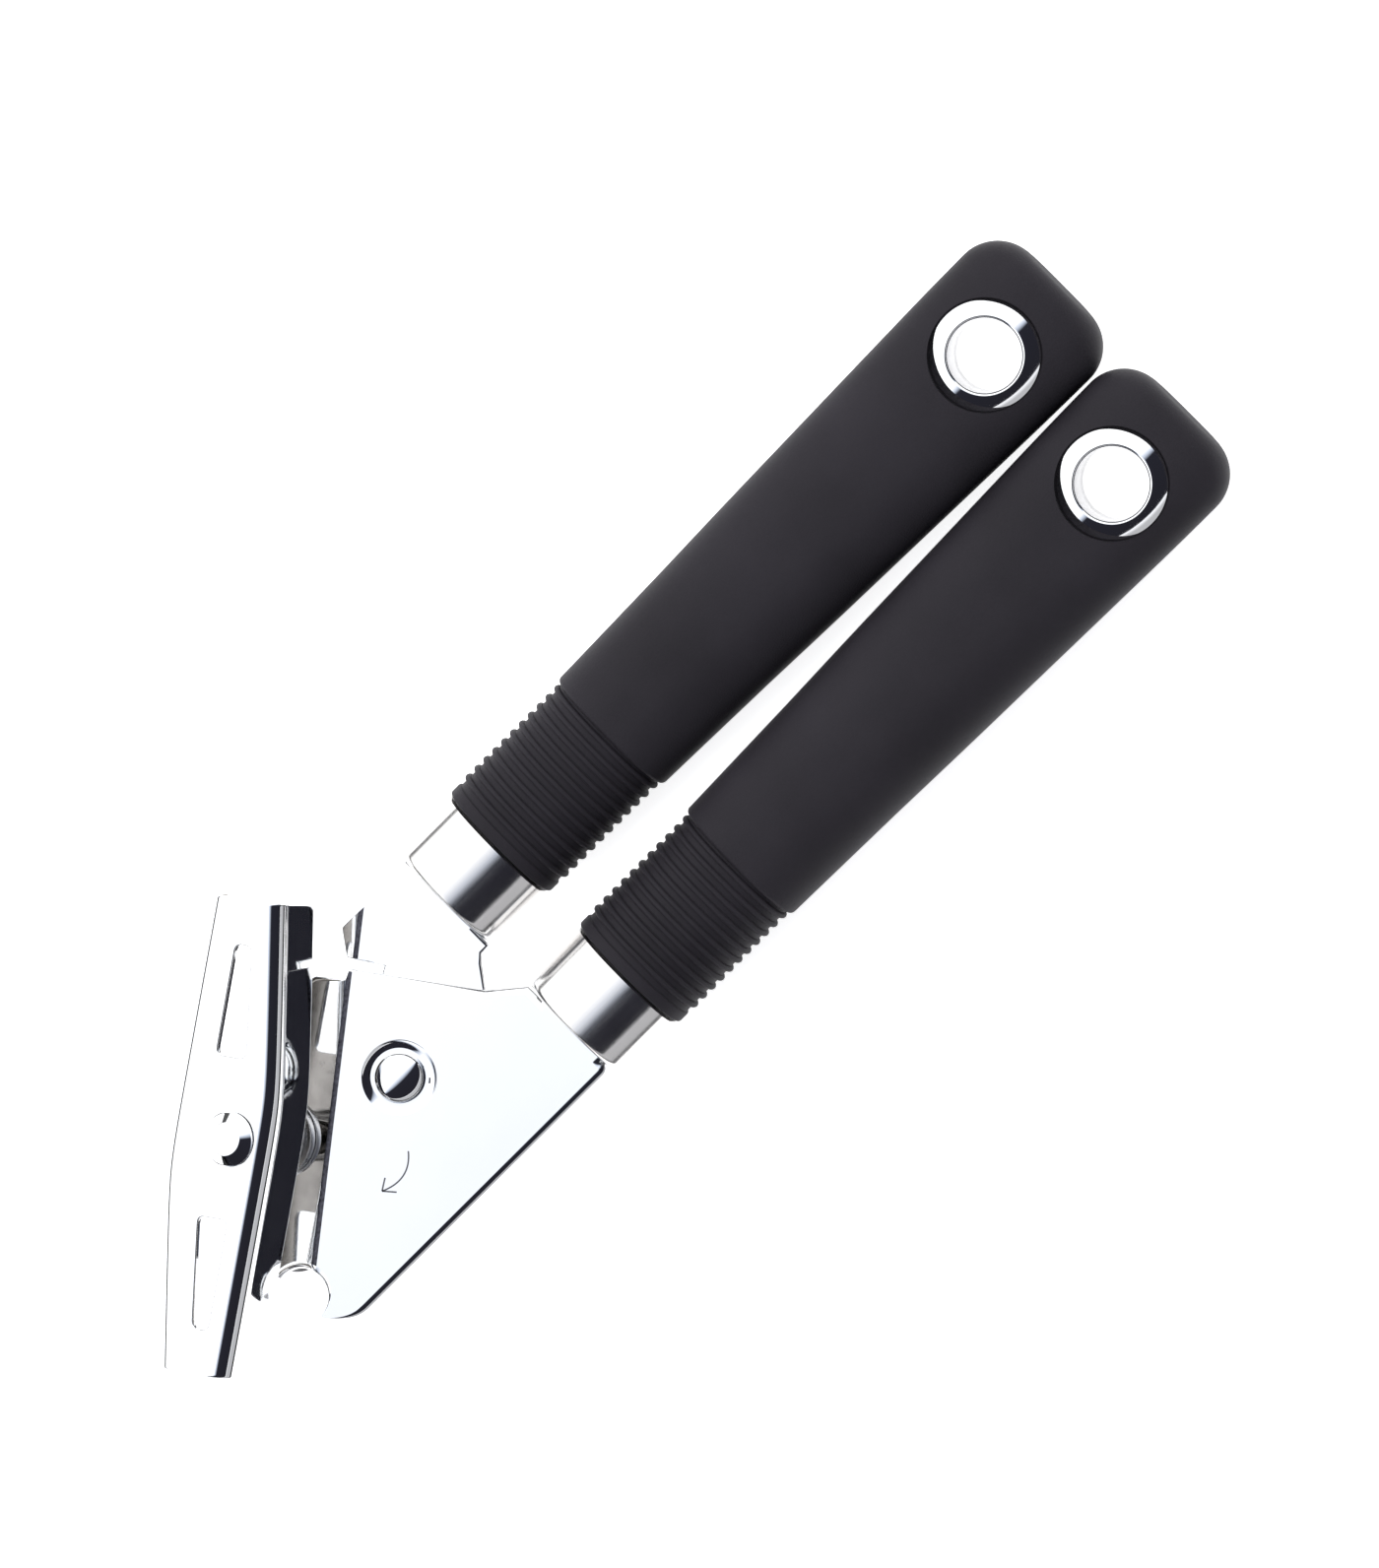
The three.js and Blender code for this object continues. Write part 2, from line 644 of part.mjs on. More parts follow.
function ferrule(plateMiddle) {
  const { start, end, halfWidth, halfThick, round } = FERRULE;
  const steps = 3;
  const stations = [];
  for (let i = 0; i <= steps; i++) {
    stations.push(start + round * (1 - Math.cos((Math.PI / 2) * (i / steps))));
  }
  stations.push(end);
  const outside = loft(stations, (x) => {
    const lack = Math.max(0, start + round - x);
    const taken = round - Math.sqrt(Math.max(0, round ** 2 - lack ** 2));
    return superellipse(halfWidth - taken, halfThick - taken, GRIP_POWER.start, GRIP_SIDES);
  });
  const inside = loft([start + SKIN, end + 1], () =>
    superellipse(halfWidth - SKIN, halfThick - SKIN, GRIP_POWER.start, GRIP_SIDES));
  return outside
    .subtract(inside)
    .subtract(tangSlot(plateMiddle, start - 1, start + 3, TANG.halfWidth + TANG.room));
}

// A chrome cone round a barrel that lines the hole. The barrel's foot takes the back ring.
function eyelet() {
  const { outer, bore, seat, cone, lip, foot } = EYELET;
  const face = seat + GAP;
  return turned([
    [bore, -seat - foot],
    [bore + SKIN, -seat - foot],
    [bore + SKIN, face],
    [outer, face],
    [bore + lip, face + cone],
    [bore, face + cone - lip],
    [bore, -seat - foot],
  ]).translate([EYELET_X, 0, 0]);
}

function eyeletBack() {
  const { outer, bore, seat, foot } = EYELET;
  const { rim, funnel } = EYELET_BACK;
  const face = -seat - GAP;
  const lip = -seat - foot - GAP;
  return turned([
    [bore + foot, face - 0.75 * rim],
    [bore + funnel, face - rim],
    [outer - funnel, face - rim],
    [outer, face - 0.4 * rim],
    [outer, face],
    [bore + SKIN + GAP, face],
    [bore + SKIN + GAP, lip],
    [bore + foot, lip],
    [bore + foot, face - 0.75 * rim],
  ]).translate([EYELET_X, 0, 0]);
}

// ---- Materials -------------------------------------------------------------------------------

const chrome = { color: 0xdfe2e6, roughness: 0.08, metalness: 1 };
const steel = { color: 0xc4c6c9, roughness: 0.25, metalness: 1 };
const brightSteel = { color: 0xd2d4d6, roughness: 0.15, metalness: 1 };
const hardenedSteel = { color: 0x9a9b9d, roughness: 0.35, metalness: 1 };
const softGrip = { color: 0x2d2d31, roughness: 0.6, metalness: 0 };
const corePlastic = { color: 0x1a1a1c, roughness: 0.5, metalness: 0 };

function piece(name, body, finish) {
  const mesh = new THREE.Mesh(geometryOf(body), new THREE.MeshStandardMaterial(finish));
  mesh.name = name;
  return mesh;
}

// ---- Assembly --------------------------------------------------------------------------------

// A handle on the tang of its plate. plateTop is the height of that plate's upper face.
function handle(prefix, { y, turn }, plateTop) {
  const group = new THREE.Group();
  const middle = plateTop - PLATE / 2 - HANDLE_Z;
  group.add(piece(prefix + '_ferrule', ferrule(middle), brightSteel));
  group.add(piece(prefix + '_core', core(middle), corePlastic));
  group.add(piece(prefix + '_grip', grip(), softGrip));
  group.add(piece(prefix + '_eyelet', eyelet(), chrome));
  group.add(piece(prefix + '_eyelet_back', eyeletBack(), chrome));
  group.position.set(0, y, HANDLE_Z);
  group.rotation.z = radians(turn);
  return group;
}

const frontLever = new THREE.Group();
frontLever.add(piece('front_plate', frontPlate(), chrome));
frontLever.add(piece('pivot_rivet', pivotRivet(), chrome));
frontLever.add(piece('pivot_washer', pivotWasher(), steel));
frontLever.add(handle('front', FRONT_HANDLE, 0));

const rearLever = new THREE.Group();
rearLever.add(piece('rear_plate', rearPlate(), chrome));
rearLever.add(handle('rear', REAR_HANDLE, -PLATE - GAP));

// What turns about the drive shaft, and the bush that it turns in
const drive = new THREE.Group();
drive.applyMatrix4(flangeMatrix(DRIVE_ALONG, DRIVE_OUT));
drive.add(piece('drive_bush', driveBush(), steel));
drive.add(piece('drive_shaft', driveShaft(), chrome));
drive.add(piece('key_washer', keyWasher(), steel));
drive.add(piece('feed_wheel', feedWheel(), hardenedSteel));
drive.add(piece('feed_wheel_cap', feedWheelCap(), steel));
const key = piece('turn_key', turnKey(), chrome);
key.position.set(0, KEY_SHIFT, KEY_HEIGHT);
key.rotateOnAxis(AXIS_Z, radians(KEY_YAW));
drive.add(key);

const cutter = new THREE.Group();
cutter.applyMatrix4(flangeMatrix(CUTTER_ALONG, DRIVE_OUT));
cutter.add(piece('cutter_stud', cutterStud(), steel));
cutter.add(piece('cutter_spacer', cutterSpacer(), steel));
cutter.add(piece('cutting_wheel', cuttingWheel(), hardenedSteel));

const opener = new THREE.Group();
opener.add(frontLever, rearLever, drive, cutter);
opener.updateMatrixWorld(true);
const box = new THREE.Box3().setFromObject(opener, true);
opener.position.set(-(box.min.x + box.max.x) / 2, -(box.min.y + box.max.y) / 2, -box.min.z);

const part = new THREE.Group();
part.add(opener);

export default part;
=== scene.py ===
import json
import math

import bmesh
import bpy
from mathutils import Matrix, Vector

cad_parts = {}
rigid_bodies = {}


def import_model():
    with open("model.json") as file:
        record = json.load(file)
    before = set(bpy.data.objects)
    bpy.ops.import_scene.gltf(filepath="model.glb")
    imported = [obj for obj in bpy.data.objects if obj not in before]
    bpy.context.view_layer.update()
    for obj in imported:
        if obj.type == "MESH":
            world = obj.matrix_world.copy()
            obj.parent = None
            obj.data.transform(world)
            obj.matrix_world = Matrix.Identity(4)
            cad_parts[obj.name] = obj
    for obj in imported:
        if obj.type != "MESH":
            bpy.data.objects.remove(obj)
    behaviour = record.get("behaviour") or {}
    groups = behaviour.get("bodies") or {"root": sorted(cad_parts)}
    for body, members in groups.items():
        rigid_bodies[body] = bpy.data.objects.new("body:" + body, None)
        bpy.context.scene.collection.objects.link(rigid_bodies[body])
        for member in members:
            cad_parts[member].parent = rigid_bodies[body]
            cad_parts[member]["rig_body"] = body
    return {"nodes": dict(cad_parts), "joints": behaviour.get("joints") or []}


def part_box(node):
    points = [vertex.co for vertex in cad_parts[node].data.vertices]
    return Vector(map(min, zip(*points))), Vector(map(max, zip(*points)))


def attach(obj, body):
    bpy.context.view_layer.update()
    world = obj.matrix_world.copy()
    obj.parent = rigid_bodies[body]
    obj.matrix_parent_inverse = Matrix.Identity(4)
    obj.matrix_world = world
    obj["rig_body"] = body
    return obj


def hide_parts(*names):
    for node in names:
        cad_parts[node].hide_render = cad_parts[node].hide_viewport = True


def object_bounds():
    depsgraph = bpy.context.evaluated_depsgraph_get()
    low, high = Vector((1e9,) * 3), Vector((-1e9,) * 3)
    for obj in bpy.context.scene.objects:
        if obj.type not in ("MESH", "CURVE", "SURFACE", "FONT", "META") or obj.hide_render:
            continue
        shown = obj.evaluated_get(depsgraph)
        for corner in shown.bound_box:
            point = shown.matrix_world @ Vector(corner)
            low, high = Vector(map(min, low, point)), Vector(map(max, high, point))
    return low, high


# Looks of a manual can opener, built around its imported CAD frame.
# Pieces are made in millimetres, in the CAD part's own local frames, and placed in metres when installed.

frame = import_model()
cad_low, cad_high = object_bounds()

MM = 0.001

# ---- Dimensions, in mm -----------------------------------------------------------------------

GAP = 0.3
FAR = 20  # how far a cutter reaches beyond what it cuts through
PLATE = 1.8
EDGE_WIDE = 1.2  # of the front plate's tumbled upper edge, across the plate
REAR_EDGE_WIDE = 0.6
EDGE_DEEP = 0.8  # of both, through the plate
EDGE_UNDER = 0.4
HOLE_ROUND = 0.25
PIVOT_HOLE_ROUND = 0.05

BEND_LINE_ANGLE = math.radians(38)
BEND_OFFSET = 10.2
BEND_DROP = math.radians(22)
BEND_RADIUS = 2.4
BEND_CUTS = 10

DRIVE_ALONG = -12.4
DRIVE_OUT = 8.9
SHAFT_R = 3
NECK_R = 2.4
SHOULDER_R = 4.4
BUSH_R = 5
BUSH_COLLAR_R = 6.6
BUSH_COLLAR_TOP = 1.7
KEY_WASHER_R = 5.6
KEY_WASHER_LOW = BUSH_COLLAR_TOP + 0.2
KEY_WASHER_TOP = BUSH_COLLAR_TOP + 0.7
SHOULDER_LOW = BUSH_COLLAR_TOP + 0.9
SHOULDER_FULL = BUSH_COLLAR_TOP + 1.5
FEED_R = 7.5
FEED_TEETH = 20
FEED_TOOTH = 0.9
FEED_TOOTH_SHAPE = ((0, FEED_R - FEED_TOOTH), (0.28, FEED_R), (0.6, FEED_R))  # share of a pitch, radius
FEED_TOP = 3.6
FEED_BOTTOM = -6.6
FEED_CAP_R = 4.3
FEED_CAP_BORE = NECK_R + 0.2
FEED_CAP_LOW = FEED_BOTTOM - 1.7
SHAFT_FOOT = FEED_BOTTOM - 2.4
SHAFT_HEAD = ((4.5, 0), (4.5, 0.12), (4.3, 0.2), (2.6, 1.38), (0, 1.38))  # radius, height

CUTTER_ALONG = -26.9
CUTTER_R = 8
CUTTER_TOP = -6.9
CUTTER_BOTTOM = -8.5
CUTTER_BEVEL = 2.4
STUD_R = 2.6
STUD_HEAD_R = 4.2
STUD_HEAD = 1.2
STUD_HEAD_EDGE = 0.6
SPACER_R = 4.4

KEY_HALF_LENGTH = 38.9
KEY_HALF_WIDTH = 10
KEY_END_HALF_WIDTH = 6.9
KEY_APEX = 5.5
KEY_APEX_BLEND = 5
KEY_SHEET = 1.2
KEY_SHOULDER = 3.5
KEY_DEPTH = 11.9
KEY_END_DEPTH = 4
KEY_CORNER = 9
KEY_HEIGHT = 16.7
KEY_SHIFT = 2.8
KEY_YAW = math.radians(0.45)
KEY_EDGE = 0.4
KEY_SLOT_NEAR = 13.2
KEY_SLOT_FAR = 31.4
KEY_SLOT_Y = -1.2
KEY_SLOT_NEAR_HALF = 2.7
KEY_SLOT_FAR_HALF = 1.4
KEY_SLOT_CORNER = 1.3
KEY_SLOT_ROUND = 0.3

RIVET_R = 3
RIVET_HEAD_R = 4.2
RIVET_TAIL = 1.2
RIVET_TAIL_EDGE = 0.6
RIVET_DOME = 1.9
RIVET_RIM = 0.3
RIVET_RECESS_R = 6.1
RIVET_FLOOR_R = 5
RIVET_RECESS = 0.6
WASHER_R = 6
WASHER_THICK = 0.7

NOTCH_X = -37
NOTCH_Y = -13.8
NOTCH_R = 4.56
HOOK = (-36.5, -18.7, 0.1, 7)  # x, y, share of the edge's rounding there, and how fast that grows
STEP = (5.8, 18, 0.3, 4)

HANDLE_Z = -2.2
FRONT_HANDLE_Y = -14.5
FRONT_HANDLE_TURN = math.radians(0.33)
REAR_HANDLE_Y = 15.6
REAR_HANDLE_TURN = math.radians(-0.05)
REAR_TOP = -PLATE - GAP
TANG_HALF = 7.1
TANG_END = 75
TANG_ROOM = 0.8

FERRULE_START = 26
FERRULE_END = 38.3
FERRULE_HALF_WIDTH = 11
FERRULE_HALF_THICK = 8.7
FERRULE_ROUND = 1.3

COLLAR_START = 38.7
COLLAR_END = 40.8
COLLAR_HALF = 11.35
COLLAR_LIP = 0.35
RIB_COUNT = 11
RIB_FIRST = 42.5
RIB_PITCH = 2.05
RIB_TROUGH = 10.95
RIB_CREST = 11.6
RIB_HALF = 0.52
RIB_FLATTER = 2
SMOOTH_START = RIB_FIRST + (RIB_COUNT - 0.4) * RIB_PITCH
GRIP_END = 167
GRIP_CORNER = 7.5
GRIP_EDGE = 4.5
GRIP_POWERS = (2.3, 2.9)
GRIP_STATIONS = (38, 65, 88, 104, 120, 136, 152, 167)
GRIP_WIDTH = tuple(zip(GRIP_STATIONS, (11.5, 12, 12.55, 13.05, 13.45, 13.85, 14.2, 14.3)))
GRIP_THICK = tuple(zip(GRIP_STATIONS, (9.5, 10.2, 10.9, 10.8, 10.3, 9.5, 8.7, 8.2)))
GRIP_SHOULDER = 0.7
GRIP_STEP = 1.5
EYELET_X = 151
EYELET_OUTER = 9.06
EYELET_BORE = 6.05
EYELET_SEAT = 7.3
SKIN = 0.8

ARROW_TIP = (-15.1, -11.1)
ARROW_TAIL = (-7.4, -9.5)
ARROW_BEND = (-10.4, -13.2)
ARROW_BARBS = ((-13.2, -9.9), (-13.5, -12.9))
ARROW_HALF_WIDTH = 0.13
ARROW_PROUD = 0.02
ARROW_DEEP = 0.1

GRIP_SIDES = 112
ROUND_SIDES = 96
WHEEL_SIDES = 128

# ---- Places ----------------------------------------------------------------------------------

pivot = next(joint for joint in frame["joints"] if joint["name"] == "lever_pivot")["pos_m"]
plate_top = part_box("front_plate")[1].z
PLACE = Matrix.Translation((pivot[0], pivot[1], plate_top)) @ Matrix.Diagonal((MM, MM, MM, 1))
HEAD = Matrix.Identity(4)


def handle_place(y, turn):
    return Matrix.Translation((0, y, HANDLE_Z)) @ Matrix.Rotation(turn, 4, "Z")


def flange(along, down):
    """The flange's own frame: x along the bend line, y down the slope, z out of its upper face."""
    bend_line = Matrix.Rotation(BEND_LINE_ANGLE, 4, "Z") @ Matrix.Translation((0, BEND_OFFSET, 0))
    return bend_line @ Matrix.Rotation(-BEND_DROP, 4, "X") @ Matrix.Translation((along, down, 0))


FRONT_HANDLE = handle_place(FRONT_HANDLE_Y, FRONT_HANDLE_TURN)
REAR_HANDLE = handle_place(REAR_HANDLE_Y, REAR_HANDLE_TURN)
UP = Vector((0, 0, 1))
FLANGE_UP = flange(0, 0).to_3x3() @ UP
DRIVE = flange(DRIVE_ALONG, DRIVE_OUT)
CUTTER = flange(CUTTER_ALONG, DRIVE_OUT)
KEY = DRIVE @ Matrix.Translation((0, KEY_SHIFT, KEY_HEIGHT)) @ Matrix.Rotation(KEY_YAW, 4, "Z")

# ---- Materials -------------------------------------------------------------------------------


def finish_material(
    name, colour, metal, roughness, spread, tint, wear_scale, grain_scale, grain, stretch=(1, 1, 1)
):
    """Slow wear varies the colour by tint and the roughness by spread, and a fine grain gives relief."""
    made = bpy.data.materials.new(name)
    made.use_nodes = True
    nodes = made.node_tree.nodes
    links = made.node_tree.links
    shader = nodes["Principled BSDF"]
    shader.inputs["Metallic"].default_value = metal
    place = nodes.new("ShaderNodeTexCoord")
    scaled = nodes.new("ShaderNodeMapping")
    scaled.inputs["Scale"].default_value = stretch
    links.new(place.outputs["Object"], scaled.inputs["Vector"])
    wear = nodes.new("ShaderNodeTexNoise")
    wear.inputs["Scale"].default_value = wear_scale
    wear.inputs["Detail"].default_value = 6
    links.new(place.outputs["Object"], wear.inputs["Vector"])
    fine = nodes.new("ShaderNodeTexNoise")
    fine.inputs["Scale"].default_value = grain_scale
    fine.inputs["Detail"].default_value = 4
    links.new(scaled.outputs["Vector"], fine.inputs["Vector"])
    mixed = nodes.new("ShaderNodeMath")
    mixed.operation = "MULTIPLY_ADD"
    mixed.inputs[1].default_value = 0.5
    links.new(fine.outputs["Fac"], mixed.inputs[0])
    half_wear = nodes.new("ShaderNodeMath")
    half_wear.operation = "MULTIPLY"
    half_wear.inputs[1].default_value = 0.5
    links.new(wear.outputs["Fac"], half_wear.inputs[0])
    links.new(half_wear.outputs["Value"], mixed.inputs[2])
    ranged = nodes.new("ShaderNodeMapRange")
    ranged.inputs["From Min"].default_value = 0.3
    ranged.inputs["From Max"].default_value = 0.7
    ranged.inputs["To Min"].default_value = max(0.02, roughness - spread)
    ranged.inputs["To Max"].default_value = roughness + spread
    links.new(mixed.outputs["Value"], ranged.inputs["Value"])
    links.new(ranged.outputs["Result"], shader.inputs["Roughness"])
    ramp = nodes.new("ShaderNodeValToRGB")
    ramp.color_ramp.elements[0].position = 0.3
    ramp.color_ramp.elements[1].position = 0.7
    ramp.color_ramp.elements[0].color = [c * (1 - tint) for c in colour] + [1]
    ramp.color_ramp.elements[1].color = [min(1, c * (1 + tint)) for c in colour] + [1]
    links.new(wear.outputs["Fac"], ramp.inputs["Fac"])
    links.new(ramp.outputs["Color"], shader.inputs["Base Color"])
    relief = nodes.new("ShaderNodeBump")
    relief.inputs["Strength"].default_value = grain
    relief.inputs["Distance"].default_value = 0.1 * MM
    links.new(fine.outputs["Fac"], relief.inputs["Height"])
    links.new(relief.outputs["Normal"], shader.inputs["Normal"])
    return made


# name, colour, metallic, roughness and its spread, tint, scales of wear and grain, and depth of grain
chrome = finish_material("chrome", (0.86, 0.87, 0.885), 1, 0.05, 0.025, 0.015, 60, 900, 0.006)
polished_steel = finish_material(
    "polished_steel", (0.8, 0.79, 0.785), 1, 0.17, 0.05, 0.03, 80, 500, 0.02, (0.15, 3, 3)
)
plain_steel = finish_material("plain_steel", (0.62, 0.62, 0.63), 1, 0.28, 0.08, 0.05, 300, 1500, 0.05)
hardened_steel = finish_material(
    "hardened_steel", (0.42, 0.42, 0.43), 1, 0.32, 0.08, 0.08, 400, 1800, 0.08
)
soft_grip = finish_material("soft_grip", (0.0255, 0.0232, 0.029), 0, 0.6, 0.06, 0.17, 45, 3200, 0.5)
# Painted shade: a darker plating for the inside of the eyelet bores
bore_shade_plating = finish_material("bore_shade_plating", (0.5, 0.5, 0.52), 1, 0.12, 0.05, 0.2, 150, 700, 0.02)
# Painted reflection: a near-black plating for the upper faces round the plates' bends
bend_reflection_plating = finish_material(
    "bend_reflection_plating", (0.06, 0.06, 0.075), 1, 0.3, 0.1, 0.5, 1500, 4000, 0.2
)
# Painted shade: a darker plating for the inside of the key's channel
channel_shade_plating = finish_material("channel_shade_plating", (0.3, 0.285, 0.27), 1, 0.22, 0.08, 0.25, 120, 700, 0.03)
core_plastic = finish_material("core_plastic", (0.012, 0.012, 0.013), 0, 0.45, 0.06, 0.1, 90, 1200, 0.1)
etched = finish_material("etched_mark", (0.16, 0.16, 0.17), 1, 0.5, 0.1, 0.1, 500, 4000, 0.1)
grip_shader = soft_grip.node_tree.nodes["Principled BSDF"]
grip_shader.inputs["Specular IOR Level"].default_value = 0.14

MATERIALS = {
    "chrome": chrome,
    "polished_steel": polished_steel,
    "plain_steel": plain_steel,
    "hardened_steel": hardened_steel,
    "soft_grip": soft_grip,
    "core_plastic": core_plastic,
}

# ---- Mesh tools ------------------------------------------------------------------------------


def quarter(steps):
    """Equal steps over a quarter turn."""
    return [math.pi / 2 * i / steps for i in range(steps + 1)]


def mesh_object(name, bm):
    """An object with the cleaned mesh of bm, still in mm."""
    bmesh.ops.remove_doubles(bm, verts=bm.verts, dist=1e-5)
    bmesh.ops.recalc_face_normals(bm, faces=bm.faces)
    mesh = bpy.data.meshes.new(name)
    bm.to_mesh(mesh)
    bm.free()
    obj = bpy.data.objects.new(name, mesh)
    bpy.context.scene.collection.objects.link(obj)
    return obj


def loft(name, outlines):
    """A closed skin through outlines of [x, y, z] points, with flat ends."""
    bm = bmesh.new()
    rings = [[bm.verts.new(point) for point in outline] for outline in outlines]
    for before, after in zip(rings, rings[1:]):
        for i in range(len(before)):
            bm.faces.new((before[i - 1], before[i], after[i], after[i - 1]))
    bm.faces.new(rings[0])
    bm.faces.new(rings[-1])
    return mesh_object(name, bm)


def turned(name, profile, sides=ROUND_SIDES):
    """A body turned about z from [radius, z] points. Points at radius 0 close on the axis."""
    bm = bmesh.new()
    rings = []
    for radius, z in profile:
        if radius == 0:
            rings.append([bm.verts.new((0, 0, z))] * sides)
        else:
            turns = [2 * math.pi * i / sides for i in range(sides)]
            rings.append([bm.verts.new((radius * math.cos(a), radius * math.sin(a), z)) for a in turns])
    if profile[0][0] > 0:
        rings.append(rings[0])
    for before, after in zip(rings, rings[1:]):
        for i in range(sides):
            corners = [before[i - 1], before[i], after[i], after[i - 1]]
            bm.faces.new(list(dict.fromkeys(corners)))
    return mesh_object(name, bm)


def rounded(profile, radius, closed=True, steps=4):
    """The profile with each corner replaced by a small curve that starts radius away from it."""
    points = []
    count = len(profile)
    for i in range(count):
        here = Vector(profile[i])
        if not closed and i in (0, count - 1):
            points.append(tuple(here))
            continue
        before = Vector(profile[i - 1]) - here
        after = Vector(profile[(i + 1) % count]) - here
        reach = min(radius, 0.45 * before.length, 0.45 * after.length)
        start = here + before.normalized() * reach
        end = here + after.normalized() * reach
        for k in range(steps + 1):
            t = k / steps
            points.append(tuple((1 - t) ** 2 * start + 2 * t * (1 - t) * here + t**2 * end))
    return points


def ring_piece(name, inner, outer, low, high, radius=0.12):
    return turned(name, rounded([(inner, low), (outer, low), (outer, high), (inner, high)], radius))


def disc_piece(name, profile, radius=0.15):
    """A solid turned body whose profile starts and ends on the axis."""
    return turned(name, rounded(profile, radius, closed=False))


def moved(obj, matrix):
    obj.data.transform(matrix)
    return obj


def cut(obj, *tools):
    """Takes the tools away from the object and removes them."""
    for tool in tools:
        modifier = obj.modifiers.new("cut", "BOOLEAN")
        modifier.operation = "DIFFERENCE"
        modifier.solver = "EXACT"
        modifier.object = tool
    graph = bpy.context.evaluated_depsgraph_get()
    mesh = bpy.data.meshes.new_from_object(obj.evaluated_get(graph))
    obj.modifiers.clear()
    obj.data = mesh
    for tool in tools:
        bpy.data.objects.remove(tool)
    return obj


def sharpen(obj, angle):
    """Smooth shading, with sharp edges where faces meet at more than the angle, in degrees."""
    bm = bmesh.new()
    bm.from_mesh(obj.data)
    for face in bm.faces:
        face.smooth = True
    for edge in bm.edges:
        edge.smooth = len(edge.link_faces) == 2 and edge.calc_face_angle(0) < math.radians(angle)
    bm.to_mesh(obj.data)
    bm.free()


FLAT_ENOUGH = 0.99996  # cosine of the angle to the flat direction


def border_flats(obj, matrix, directions):
    """Keeps the flat faces exactly flat in the shading: their borders with curved faces are sharp."""
    normals = [(PLACE @ matrix).to_3x3() @ Vector(direction) for direction in directions]
    normals = [normal.normalized() for normal in normals]
    bm = bmesh.new()
    bm.from_mesh(obj.data)
    bm.normal_update()
    flat = set()
    for face in bm.faces:
        if max(abs(face.normal.dot(normal)) for normal in normals) > FLAT_ENOUGH:
            flat.add(face)
    for edge in bm.edges:
        if len({face in flat for face in edge.link_faces}) == 2:
            edge.smooth = False
    bm.to_mesh(obj.data)
    bm.free()


def paint_bend_reflection(obj):
    """Painted reflection: the upper faces round each plate's bend get a near-black plating, which stands in
    for the dark reflection there.
    """
    obj.data.materials.append(bend_reflection_plating)
    along = Vector((*head_point(1, 0), 0))
    margin = math.radians(1)
    sideways = 0.02
    for face in obj.data.polygons:
        if abs(face.normal.dot(along)) > sideways or face.normal.z < 0:
            continue
        if margin < face.normal.angle(UP) < BEND_DROP - margin:
            face.material_index = 1


def install(obj, matrix, node, slot, angle=32, weighted=False):
    """Puts the finished piece in the frame, on its node's body, with its slot's material."""
    obj.data.transform(PLACE @ matrix)
    sharpen(obj, angle)
    if weighted:
        normals = obj.modifiers.new("flat_faces", "WEIGHTED_NORMAL")
        normals.keep_sharp = True
    obj.data.materials.clear()
    obj.data.materials.append(MATERIALS[slot])
    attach(obj, frame["nodes"][node]["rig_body"])
    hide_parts(node)
    return obj


# ---- Plates ----------------------------------------------------------------------------------


def head_point(along, out):
    """A plan point from its place along the bend line and out from it."""
    c = math.cos(BEND_LINE_ANGLE)
    s = math.sin(BEND_LINE_ANGLE)
    return (along * c - out * s, along * s + out * c)


def arc(centre_x, centre_y, radius, start, end, steps):
    turns = [start + (end - start) * i / steps for i in range(steps + 1)]
    return [(centre_x + radius * math.cos(a), centre_y + radius * math.sin(a)) for a in turns]


def curve(start, control, end, steps=10):
    """Points of a quadratic curve, without its start."""
    points = []
    for i in range(1, steps + 1):
        t = i / steps
        weights = ((1 - t) ** 2, 2 * t * (1 - t), t**2)
        pairs = list(zip(weights, (start, control, end)))
        points.append(tuple(sum(w * p[k] for w, p in pairs) for k in (0, 1)))
    return points


def bend_place(top):
    """Where the bend of a sheet whose flat top is at this height starts, and how far it reaches."""
    return BEND_OFFSET + top * math.tan(BEND_DROP / 2), BEND_RADIUS * math.tan(BEND_DROP / 2)


def unrolled(points, top):
    """Plan points of a bent sheet, moved to where they lie before it is bent."""
    offset, _ = bend_place(top)
    c = math.cos(BEND_LINE_ANGLE)
    s = math.sin(BEND_LINE_ANGLE)
    heads = [(x * c + y * s, y * c - x * s) for x, y in points]
    flat = []
    for i, (along, out) in enumerate(heads):
        before_along, before_out = heads[i - 1]
        if (before_out - offset) * (out - offset) < 0:
            share = (offset - before_out) / (out - before_out)
            flat.append(head_point(before_along + share * (along - before_along), offset))
        beyond = max(0, out - offset)
        flat.append(head_point(along, min(out, offset) + beyond / math.cos(BEND_DROP)))
    return flat


def inset_outline(points, distance, share=lambda point: 1):
    """The outline moved inwards, which is to the left of its direction."""
    moved_points = []
    for i, point in enumerate(points):
        here = Vector(point)
        incoming = (here - Vector(points[i - 1])).normalized()
        outgoing = (Vector(points[(i + 1) % len(points)]) - here).normalized()
        first = Vector((-incoming.y, incoming.x))
        second = Vector((-outgoing.y, outgoing.x))
        moved_points.append(here + (first + second) * (share(point) * distance / (1 + first.dot(second))))
    return moved_points


def edge_share(point):
    """The edges are rounded less near the front plate's two tightest corners."""
    shares = [1]
    for x, y, least, reach in (HOOK, STEP):
        shares.append(max(least, math.hypot(point[0] - x, point[1] - y) / reach))
    return min(shares)


